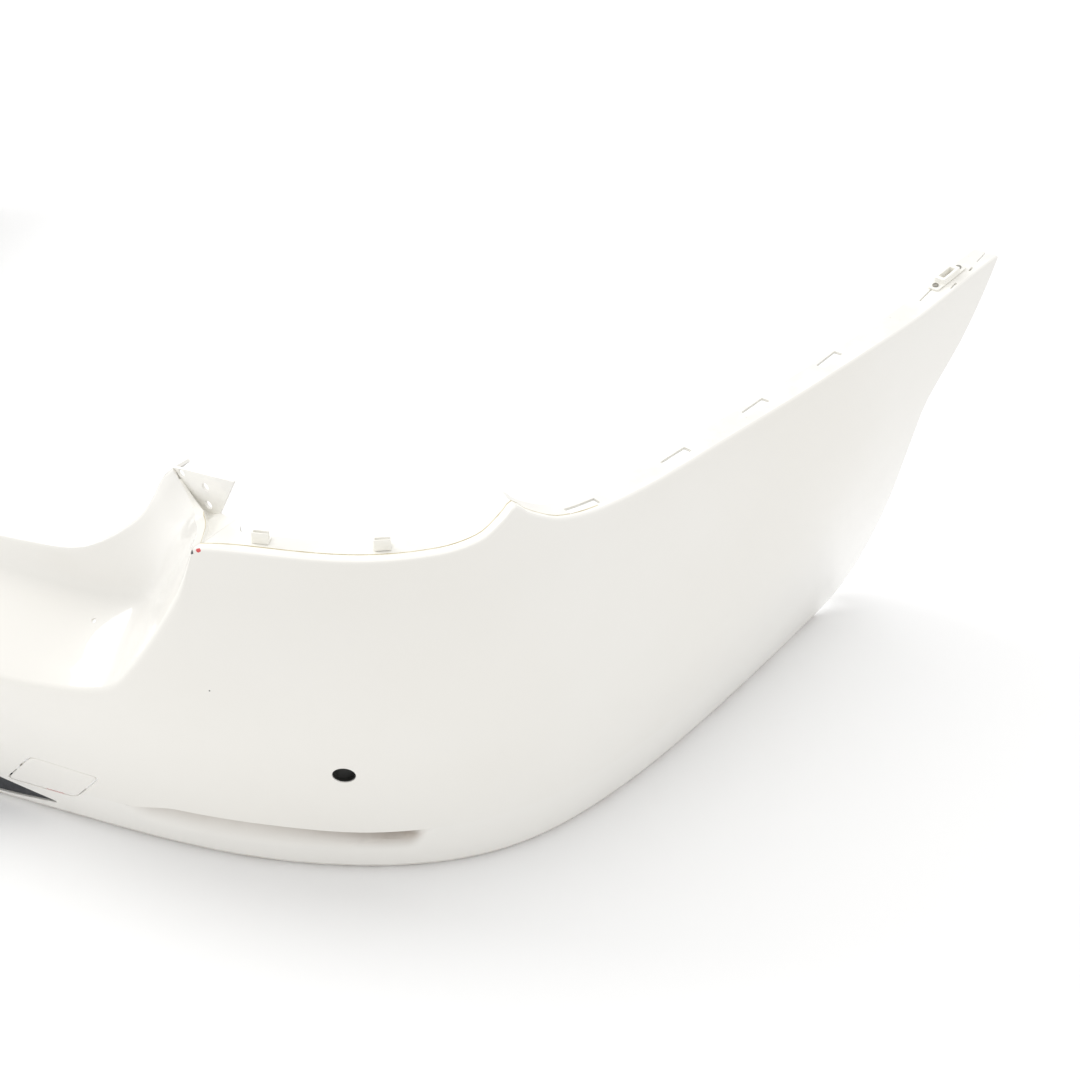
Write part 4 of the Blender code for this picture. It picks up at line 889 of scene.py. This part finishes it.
def top_flange_frame(span, lift):
    """Matrix above the flat of the top flange between two stations: X along it, Z up."""
    corners = []
    for sigma in span:
        top = float(top_edge(sigma))
        s = lean(sigma, top)
        strip = strip_column(sigma, face(s, top), face(s, top - LAMP_FOLD))
        corners += [Vector(point) for point in strip[-2:]]
    a, b, c, d = corners
    along = (c + d - a - b).normalized()
    up = along.cross(b - a).normalized()
    if up.z < 0:
        up = -up
    return axes_frame(along, up.cross(along), up, (a + b + c + d) / 4 + up * lift)


def screw_places():
    place = top_flange_frame(BRACKET_SPAN, BRACKET_LIFT)
    return [place @ Matrix.Translation((x, 0, 0)) for x in (-SCREW_X, SCREW_X)]


def lamp_clip_places():
    turn = TURN_X @ Matrix.Rotation(math.radians(90), 4, "Y")
    return [top_flange_frame(span, LAMP_CLIP_LIFT) @ turn for span in LAMP_CLIP_SPANS]


# ---------------------------------------------------------------- fine skin
def fine_stations(near, far):
    """The CAD stations with more between them, closer together at the rear than along the side."""
    stations = [SKIN_STATIONS[0]]
    for a, b in zip(SKIN_STATIONS, SKIN_STATIONS[1:]):
        count = math.ceil((b - a) / (near if b <= FAN_START else far))
        stations += [a + (b - a) * i / count for i in range(1, count + 1)]
    return stations


def build_skin():
    """Moulded skin on the fine grid, thickened inwards, with its holes cut."""
    bm = bmesh.new()
    for sign in (1, -1):
        for quad, zone in half_skin(fine_stations(REAR_SPACING, SIDE_SPACING)):
            points = quad if sign > 0 else quad[::-1]
            corners = [bm.verts.new((sign * p[0], p[1] + SHIFT_Y, p[2])) for p in points]
            bm.faces.new(corners).material_index = zone
    bmesh.ops.remove_doubles(bm, verts=bm.verts, dist=MERGE)
    bmesh.ops.dissolve_degenerate(bm, edges=bm.edges, dist=MERGE)
    looks = [white_paint(), bare_flange(), grime_and_shade(), scoop_paint(), inside_plastic()]
    skin = add_piece("skin", bm, looks)
    shell = skin.modifiers.new("shell", "SOLIDIFY")
    shell.thickness = SHELL
    shell.offset = -1.0
    shell.use_even_offset = True
    shell.material_offset = INSIDE_ZONE
    apply_modifiers(skin)
    solids = bmesh.new()
    mirrored(solids, add_post_plate)
    mirrored(solids, add_studs)
    join_or_cut(skin, solids, "UNION", BARE_ZONE)
    cuts = bmesh.new()
    cut_centre(cuts)
    for cutter in (cut_side_slots, cut_plate_holes, cut_fastener_holes):
        mirrored(cuts, cutter)
    join_or_cut(skin, cuts, "DIFFERENCE", BARE_ZONE)
    finish_piece(skin, "bumper", ["bumper_skin"])


def cut_centre(bm):
    """Sensor holes, tow-eye opening and insert opening, which aren't mirror pairs."""
    for s in SENSOR_S.values():
        add_prism(bm, circle(SENSOR_R, SENSOR_SIDES), -CUT_REACH, CUT_REACH, frame_at(s, SENSOR_Z))
    outwards = (-1, 1, 1, -1)
    opening = [(s + way * TOW_SIDE_GAP, z) for (s, z), way in zip(TOW_CORNERS, outwards)]
    outline = rounded(grow(opening, TOW_SHUT_GAP), TOW_CORNER_R, 8)
    add_face_slab(bm, outline, -CUT_REACH, CUT_REACH)
    add_face_band(bm, insert_foot, insert_top, insert_stations(INSERT_END), (-CUT_REACH, CUT_REACH))


def cut_side_slots(bm):
    low, high = SIDE_SLOT_Z
    for y, inset, length, width in SIDE_SLOTS + TIP_SLOTS:
        s = side_s(y)
        middle = (face(s, SIDE_Z)[0] - inset, y + SHIFT_Y, 0.0)
        outline = rounded(rectangle(length, width), min(SLOT_CORNER, 0.4 * width))
        add_prism(bm, outline, low, high, Matrix.Translation(middle) @ plan_turn(s))


def cut_plate_holes(bm):
    for x, z in PLATE_HOLES:
        add_prism(bm, circle(PLATE_HOLE_R, PLATE_SIDES), -CUT_REACH, CUT_REACH, plate_frame(x, z))


def cut_fastener_holes(bm):
    holes = [(arch_places(), ARCH_HOLE_R, ROUND), (flange_places(), FLANGE_HOLE_R, ROUND),
             (screw_places(), SCREW_HOLE_R, SMALL_ROUND), ([dish_place()], DISH_HOLE_R, ROUND)]
    for places, radius, sides in holes:
        for place in places:
            add_prism(bm, circle(radius, sides), -CUT_REACH, CUT_REACH, place)


def add_post_plate(bm):
    add_prism(bm, rounded(PLATE_OUTLINE[::-1], PLATE_CORNER), 0.0, PLATE_T, plate_frame(0, 0))


def add_studs(bm):
    for place in stud_places():
        add_prism(bm, circle(STUD_R, SMALL_ROUND), -STUD_LENGTH, -SHELL / 2, place)


# ---------------------------------------------------------------- lower insert
def build_insert():
    """Black panel with softened edges and a stepped border, and its lap behind the skin."""
    panel, lap, holes = bmesh.new(), bmesh.new(), bmesh.new()
    low, high = -INSERT_DEPTH, -INSERT_SETBACK
    profile = [(0.0, low), (0.0, high - INSERT_SOFT), (INSERT_SOFT, high)]
    add_edged_band(panel, lambda s: insert_foot(s) + INSERT_GAP, lambda s: insert_top(s) - INSERT_GAP,
                   insert_stations(INSERT_END - INSERT_END_GAP), profile)
    add_face_band(lap, lambda s: insert_foot(s) - INSERT_FOOT_LAP, lambda s: insert_top(s) + INSERT_LAP,
                  insert_stations(INSERT_END + INSERT_LAP), [low, -SHELL - 2 * GAP])
    mirrored(holes, cut_stud_holes)
    insert = add_piece("insert_panel", panel, [black_grain()])
    join_or_cut(insert, lap, "UNION")
    join_or_cut(insert, holes, "DIFFERENCE")
    finish_piece(insert, "bumper", ["lower_insert"])


def cut_stud_holes(bm):
    for place in stud_places():
        add_prism(bm, circle(STUD_R + 2 * GAP, SMALL_ROUND), -INSERT_DEPTH - STUD_HOLE_REACH, -SHELL, place)


# ---------------------------------------------------------------- tow-eye cover
def build_tow_cover():
    """Painted cover with a softened rim, a thicker middle, two hooks and a snap rib."""
    front, back = bmesh.new(), bmesh.new()
    add_crowned_slab(front, TOW_CORNERS, TOW_CORNER_R, [(0.0, -TOW_RIM)] + TOW_RIM_STEPS)
    boss = [(-TOW_BOSS_INSET, -TOW_PANEL), (-TOW_BOSS_INSET, -TOW_RIM / 2)]
    add_crowned_slab(back, TOW_CORNERS, TOW_CORNER_R, boss)
    hooks = bmesh.new()
    for middle in TOW_HOOK_PLACE:
        add_tow_hook(hooks, tow_frame(), middle)
    add_tow_snap(hooks)
    cover = add_piece("tow_cover_panel", front, [white_paint()])
    join_or_cut(cover, back, "UNION")
    join_or_cut(cover, hooks, "UNION")
    finish_piece(cover, "tow_cover", ["tow_eye_cover"])


# ---------------------------------------------------------------- sensor holders
def holder_profile():
    """Cross-section of a socket, with softened rims and a step inside for the sensor's seal."""
    soft, seal, collar = HOLDER_SOFT, HOLDER_BORE_R + HOLDER_SEAL, SENSOR_R - HOLDER_FIT
    return [(seal, HOLDER_FRONT - soft), (seal + soft, HOLDER_FRONT), (collar - soft, HOLDER_FRONT),
            (collar, HOLDER_FRONT - soft), (collar, HOLDER_SEAT), (HOLDER_FLANGE_R - soft, HOLDER_SEAT),
            (HOLDER_FLANGE_R, HOLDER_SEAT - soft), (HOLDER_FLANGE_R, HOLDER_FLANGE_BACK + soft),
            (HOLDER_FLANGE_R - soft, HOLDER_FLANGE_BACK), (HOLDER_BODY_R, HOLDER_FLANGE_BACK),
            (HOLDER_BODY_R, HOLDER_BACK + soft), (HOLDER_BODY_R - soft, HOLDER_BACK),
            (HOLDER_BORE_R + soft, HOLDER_BACK), (HOLDER_BORE_R, HOLDER_BACK + soft),
            (HOLDER_BORE_R, HOLDER_SEAT), (seal, HOLDER_SEAT)]


def build_holders():
    """Sensor sockets with three latches each."""
    profile = holder_profile()
    low = (HOLDER_BODY_R - LATCH_ROOT, -LATCH_HALF_WIDTH, HOLDER_BACK + LATCH_DOWN)
    high = (HOLDER_BODY_R + LATCH_OUT, LATCH_HALF_WIDTH, HOLDER_FLANGE_BACK + LATCH_UP)
    for name, s in SENSOR_S.items():
        bm, latches = bmesh.new(), bmesh.new()
        place = frame_at(s, SENSOR_Z)
        add_turned(bm, lambda turn: profile, place, RING)
        for angle in (30, 150, 270):
            add_box(latches, low, high, place @ Matrix.Rotation(math.radians(angle), 4, "Z"))
        holder = add_piece("holder_" + name, bm, [black_plastic()])
        join_or_cut(holder, latches, "UNION")
        finish_piece(holder, "bumper", ["sensor_holder_" + name])


# ---------------------------------------------------------------- brackets, clips and fasteners
def build_bracket(side):
    """Guide bracket: a screwed foot and a raised box with a window, all with softened edges."""
    place = top_flange_frame(BRACKET_SPAN, BRACKET_LIFT)
    base, high = BRACKET[2], BRACKET_BOX[2]
    foot, raised, holes = bmesh.new(), bmesh.new(), bmesh.new()
    layers = [(foot, BRACKET[:2], (0, base)), (raised, BRACKET_BOX[:2], (base / 2, high)),
              (holes, BRACKET_WINDOW, (-base, high + base))]
    for (bm, size, span), corner in zip(layers, BRACKET_CORNERS):
        add_prism(bm, rounded(rectangle(*size), corner), *span, place)
    for screw in screw_places():
        add_prism(holes, circle(SCREW_HOLE_R, SMALL_ROUND), -base, high, screw)
    for bm in (foot, raised, holes):
        flip_to(side, bm)
    bracket = add_piece("guide_bracket_" + side, foot, [cream_plastic()])
    join_or_cut(bracket, raised, "UNION")
    join_or_cut(bracket, holes, "DIFFERENCE")
    soften(bracket, BRACKET_SOFT)
    finish_piece(bracket, "bumper", ["end_bracket_" + side])


def build_lamp_tab(side, number, place):
    """Upright U-shaped tab, open at the top and at one end."""
    bm, slit = bmesh.new(), bmesh.new()
    add_prism(bm, LAMP_TAB, -LAMP_CLIP_WIDTH / 2, LAMP_CLIP_WIDTH / 2, place)
    add_box(slit, *LAMP_TAB_SLIT, place)
    for part in (bm, slit):
        flip_to(side, part)
    tab = add_piece(f"lamp_tab_{side}_{number}", bm, [cream_plastic()])
    join_or_cut(tab, slit, "DIFFERENCE")
    soften(tab, LAMP_TAB_SOFT)
    finish_piece(tab, "bumper", [f"lamp_edge_clip_{side}_{number}"])


def screw_shape(bm, place):
    """Pan-head screw with a thread of shallow rings."""
    (thin, low), _, (head_r, head), (_, top) = SCREW_PROFILE
    shoulder = head + SCREW_SOFT
    rings = [(SCREW_SOFT, low), (thin * 0.7, low + 0.0008)]        # blunt tip
    for i in range(int((head - low) / SCREW_PITCH) - 2):
        z = low + 0.0010 + i * SCREW_PITCH
        rings += [(thin * SCREW_ROOT, z), (thin, z + SCREW_PITCH / 2)]
    rings += [(thin, head), (head_r - 0.0002, head), (head_r, shoulder)]
    for i in range(1, 6):
        angle = math.radians(90 * i / 5)
        crown = head_r * math.cos(angle) * 0.98 + 0.0004
        rings.append((crown, shoulder + (top - shoulder) * math.sin(angle)))
    add_lathe(bm, rings, place, ROUND)


def hex_nut_shape(bm, place, low):
    """Flanged hexagon nut with a chamfered bore, from a distance along the place's Z upwards."""
    bore, base = NUT_HOLE_R + NUT_SOFT, 0.0006
    round_part = [(bore, NUT_T), (NUT_HOLE_R, NUT_T - NUT_SOFT), (NUT_HOLE_R, NUT_SOFT), (bore, 0.0),
                  (NUT_R, 0.0), (NUT_R, base), (NUT_R - 0.0008, 2 * base)]

    def profile_at(turn):
        flat = NUT_HEX / math.cos(turn % (math.pi / 3) - math.pi / 6)
        hexagon = [(flat, 0.0016), (flat, NUT_T - 0.0005), (NUT_HEX - 0.0007, NUT_T)]
        return [(radius, low + height) for radius, height in round_part + hexagon]
    add_turned(bm, profile_at, place, RING)


def push_nut_shape(bm, place):
    """Star washer whose teeth grip a stud."""
    back = -INSERT_DEPTH - GAP
    front, waist = back - PUSH_NUT_T, PUSH_NUT_R * PUSH_NUT_WAIST

    def profile_at(turn):
        tooth = STUD_R + GAP + PUSH_NUT_TOOTH * (0.5 - 0.5 * math.cos(6 * turn))
        return [(tooth, front), (waist, front + PUSH_NUT_DISH), (PUSH_NUT_R, front + PUSH_NUT_DISH),
                (PUSH_NUT_R, back), (waist, back), (tooth, back - PUSH_NUT_DISH)]
    add_turned(bm, profile_at, place, RING)


def arch_nut_shape(bm, place):
    hex_nut_shape(bm, place @ Matrix.Rotation(math.pi, 4, "X"), SHELL + ARCH_NUT_GAP)


def flange_nut_shape(bm, place):
    hex_nut_shape(bm, place, SHELL + GAP)


def build_fasteners(name, node, shape, places):
    """One detailed fastener for each CAD one, on both sides."""
    for side in ("right", "left"):
        for number, place in enumerate(places, 1):
            bm = bmesh.new()
            shape(bm, place)
            flip_to(side, bm)
            piece = add_piece(f"{name}_{side}_{number}", bm, [zinc_steel()])
            finish_piece(piece, "bumper", [f"{node}_{side}_{number}"])


# ---------------------------------------------------------------- materials
class Look:
    """A Principled material and short ways to feed it; a value is a number, a colour or a socket."""

    def __init__(self, name, colour, roughness, metallic=0.0):
        self.mat = bpy.data.materials.new(name)
        self.mat.use_nodes = True
        self.tree = self.mat.node_tree
        self.inputs = self.tree.nodes["Principled BSDF"].inputs
        self.place = self.tree.nodes.new("ShaderNodeTexCoord").outputs["Object"]
        self.set(self.inputs, {"Base Color": colour, "Roughness": roughness, "Metallic": metallic})

    def set(self, inputs, values):
        for name, value in values.items():
            if isinstance(value, bpy.types.NodeSocket):
                self.tree.links.new(value, inputs[name])
            elif inputs[name].type == "RGBA":
                inputs[name].default_value = (*value, 1.0)
            else:
                inputs[name].default_value = value

    def node(self, kind, values):
        made = self.tree.nodes.new(kind)
        self.set(made.inputs, values)
        return made

    def noise(self, scale, detail=2.0, rough=0.5):
        values = {"Vector": self.place, "Scale": scale, "Detail": detail, "Roughness": rough}
        return self.node("ShaderNodeTexNoise", values).outputs["Fac"]

    def ramp(self, value, low, high, out_low=0.0, out_high=1.0):
        """Value mapped smoothly from one range to another and kept inside it."""
        made = self.node("ShaderNodeMapRange", {"Value": value, "From Min": low, "From Max": high,
                                                "To Min": out_low, "To Max": out_high})
        made.interpolation_type = "SMOOTHSTEP"
        return made.outputs["Result"]

    def mix(self, share, first, second):
        """Colour between two."""
        made = self.tree.nodes.new("ShaderNodeMix")
        made.data_type = "RGBA"
        self.set(made.inputs, {0: share, 6: first, 7: second})
        return made.outputs[2]

    def maths(self, operation, *values):
        made = self.node("ShaderNodeMath", dict(enumerate(values)))
        made.operation = operation
        return made.outputs[0]

    def product(self, first, *others):
        for other in others:
            first = self.maths("MULTIPLY", first, other)
        return first

    def bump(self, height, distance):
        made = self.node("ShaderNodeBump", {"Height": height, "Distance": distance})
        self.set(self.inputs, {"Normal": made.outputs["Normal"]})

    def spot(self, centre, radius, edge_noise):
        """1 inside a ragged round spot about a point, 0 outside."""
        away = self.node("ShaderNodeVectorMath", {0: self.place, 1: centre})
        away.operation = "DISTANCE"
        ragged = self.maths("MULTIPLY_ADD", edge_noise, radius, away.outputs["Value"])
        return self.ramp(ragged, *(radius * share for share in CHIP_EDGE), 1.0, 0.0)

    def gloss_paint(self, colour):
        """Clear-coated paint of a colour, with a slightly uneven gloss under the coat."""
        gloss = self.ramp(self.noise(14.0), 0.3, 0.75, *GLOSS)
        self.set(self.inputs, {"Base Color": colour, "Roughness": gloss, "Coat Weight": 1.0,
                               "Coat Roughness": COAT_ROUGHNESS})


@cache
def white_paint():
    """Gloss white paint with dust and painted shade in the hollows found by ambient occlusion, and a few
    chips.
    """
    look = Look("white_gloss_paint", WHITE, 0.3)
    colour = look.mix(look.ramp(look.noise(2.5, 3.0), 0.35, 0.7), WHITE, WHITE_AGED)
    # painted shade with dust: the colour darkens towards the dust colour where ambient occlusion finds a
    # hollow
    hollow = look.node("ShaderNodeAmbientOcclusion", {"Distance": DUST_AND_SHADE_REACH}).outputs["AO"]
    patchy = look.ramp(look.noise(45.0, 4.0, 0.6), 0.3, 0.7, 0.35, 1.0)
    colour = look.mix(look.product(look.ramp(hollow, 0.4, 0.8, 0.5, 0.0), patchy), colour, DUST_AND_SHADE)
    edge = look.noise(900.0)
    for centre, radius, chip in PAINT_CHIPS:
        colour = look.mix(look.spot(centre, radius, edge), colour, chip)
    look.gloss_paint(colour)
    return look.mat


def scoop_paint():
    """The same paint in the lower scoop, with dirt and painted shade under the crisp edge, most at the
    outer end.
    """
    look = Look("white_gloss_paint_in_scoop", WHITE, 0.3)
    x, y, z = look.node("ShaderNodeSeparateXYZ", {0: look.place}).outputs
    start, end = (face(*curve[:2]) + [0.0, SHIFT_Y, 0.0] for curve in (SCOOP_FOOT[0], SCOOP_FOOT[-1]))
    under = look.ramp(z, *SOIL_AND_SHADE_HEIGHTS)
    left = look.ramp(look.maths("ABSOLUTE", x), *(start[0] + SOIL_AND_SHADE_START))
    right = look.ramp(y, *(end[1] + SOIL_AND_SHADE_END), 1.0, 0.0)
    deep = look.ramp(y, *(end[1] + SOIL_AND_SHADE_DEEP), *SOIL_AND_SHADE_SHARES)
    patchy = look.ramp(look.noise(30.0, 4.0, 0.6), 0.3, 0.7, 0.85, 1.0)
    # dirt and painted shade of the overhanging edge, darkest under it and at the outer end
    look.gloss_paint(look.mix(look.product(under, left, right, deep, patchy), WHITE, SOIL_AND_SHADE))
    return look.mat


@cache
def bare_flange():
    """Cream moulded plastic with thin overspray, a fine grain and some handling marks."""
    look = Look("bare_cream_flange", CREAM, 0.5)
    spray = look.ramp(look.noise(18.0, 4.0, 0.6), 0.35, 0.65)
    marks = look.ramp(look.noise(160.0, 6.0, 0.7), 0.62, 0.75, 0.0, 0.35)
    colour = look.mix(marks, look.mix(spray, CREAM, WHITE), DUST_AND_SHADE)
    look.set(look.inputs, {"Base Color": colour, "Roughness": look.ramp(spray, 0.0, 1.0, 0.55, 0.34)})
    look.bump(look.noise(1500.0), 0.00003)
    return look.mat


def two_tone(name, first, second, roughness, patches, grain, depth):
    """Material patchy between two colours, with a fine grain; patches and grain are noises."""
    look = Look(name, first, roughness)
    colour = look.mix(look.ramp(look.noise(*patches), 0.35, 0.7), first, second)
    look.set(look.inputs, {"Base Color": colour})
    look.bump(look.noise(*grain), depth)
    return look.mat


def grime_and_shade():
    """Yellow-brown line in the crease along the lamp cut-out: partly old sealer and dirt, partly painted
    shade of the step and channel.
    """
    return two_tone("crease_grime_and_shade", GRIME_AND_SHADE, GRIME_AND_SHADE_PALE, 0.6, (60.0, 4.0, 0.6), (700.0, 3.0), 0.0001)


def inside_plastic():
    """Raw inner side: satin grey-white moulding with flow marks."""
    return two_tone("inside_moulding", INSIDE, INSIDE_DARK, 0.55, (6.0, 6.0, 0.6), (1100.0, 2.0), 0.00004)


@cache
def grained(name, colour, worn, roughness, cell, depth):
    """Moulded plastic with a leather-like grain and paler worn patches."""
    look = Look(name, colour, roughness)
    cells = look.node("ShaderNodeTexVoronoi", {"Vector": look.place, "Scale": cell})
    look.bump(cells.outputs["Distance"], depth)
    wear = look.ramp(look.noise(25.0, 5.0, 0.65), 0.45, 0.75)
    uneven = look.ramp(look.noise(60.0, 3.0), 0.3, 0.7, roughness - 0.08, roughness + 0.08)
    look.set(look.inputs, {"Base Color": look.mix(wear, colour, worn), "Roughness": uneven,
                           "Specular IOR Level": 0.35})
    return look.mat


def black_grain():
    return grained("black_grained_moulding", BLACK, BLACK_WORN, 0.55, 1400.0, 0.00012)


def black_plastic():
    return grained("black_satin_moulding", SATIN, SATIN_WORN, 0.42, 2600.0, 0.00003)


def cream_plastic():
    return grained("cream_satin_moulding", CREAM, CREAM_WORN, 0.42, 2200.0, 0.00003)


@cache
def zinc_steel():
    """Dull zinc plate with darker patches and faint scratches."""
    look = Look("dull_zinc_plate", STEEL, 0.42, 1.0)
    patches = look.ramp(look.noise(260.0, 5.0, 0.7), 0.35, 0.7)
    uneven = look.ramp(look.noise(900.0, 3.0), 0.3, 0.7, 0.32, 0.55)
    look.set(look.inputs, {"Base Color": look.mix(patches, STEEL, STEEL_DARK), "Roughness": uneven})
    look.bump(look.noise(1800.0, 3.0), 0.00003)
    return look.mat


# ---------------------------------------------------------------- floor, lights and camera
def build_floor():
    bm = bmesh.new()
    bmesh.ops.create_grid(bm, x_segments=1, y_segments=1, size=20.0)
    mesh = bpy.data.meshes.new("floor")
    bm.to_mesh(mesh)
    bm.free()
    floor = bpy.data.objects.new("floor", mesh)
    bpy.context.scene.collection.objects.link(floor)
    floor.location = (0, 0, -0.0005)
    mesh.materials.append(Look("pale_floor", FLOOR, 0.9).mat)


def add_light(name, location, target, size, power):
    data = bpy.data.lights.new(name, "AREA")
    data.size = size
    data.energy = power
    light = bpy.data.objects.new(name, data)
    bpy.context.scene.collection.objects.link(light)
    light.location = location
    light.rotation_euler = (Vector(target) - Vector(location)).to_track_quat("-Z", "Y").to_euler()


def build_lights():
    world = bpy.data.worlds.new("studio")
    world.use_nodes = True
    background = world.node_tree.nodes["Background"]
    background.inputs["Color"].default_value = (1.0, 1.0, 1.0, 1.0)
    background.inputs["Strength"].default_value = WORLD_LIGHT
    bpy.context.scene.world = world
    for name, location, size, power in SOFT_BOXES:
        add_light(name, location, (0.3, 0.0, 0.2), size, power)
    bpy.context.scene.view_settings.view_transform = "Standard"


def build_camera():
    data = bpy.data.cameras.new("camera")
    data.sensor_width = 36.0
    data.lens = CAMERA_LENS
    data.clip_end = 100.0
    camera = bpy.data.objects.new("camera", data)
    bpy.context.scene.collection.objects.link(camera)
    azimuth, elevation = (math.radians(a) for a in CAMERA_ANGLES)
    back = Vector((math.sin(azimuth) * math.cos(elevation), -math.cos(azimuth) * math.cos(elevation),
                   math.sin(elevation)))
    aim = Vector(CAMERA_AIM) + SHIFT
    camera.location = aim + back * CAMERA_DISTANCE
    camera.rotation_euler = (-back).to_track_quat("-Z", "Y").to_euler()
    bpy.context.scene.camera = camera


# ---------------------------------------------------------------- build
build_camera()
build_floor()
build_lights()
build_skin()
build_insert()
build_tow_cover()
build_holders()
for bracket_side in ("right", "left"):
    build_bracket(bracket_side)
    for tab_number, tab_place in enumerate(lamp_clip_places(), 1):
        build_lamp_tab(bracket_side, tab_number, tab_place)
build_fasteners("screw", "bracket_screw", screw_shape, screw_places())
build_fasteners("arch_clip_nut", "arch_nut", arch_nut_shape, arch_places())
build_fasteners("flange_clip_nut", "flange_nut", flange_nut_shape, flange_places())
build_fasteners("push_nut", "insert_push_nut", push_nut_shape, stud_places())
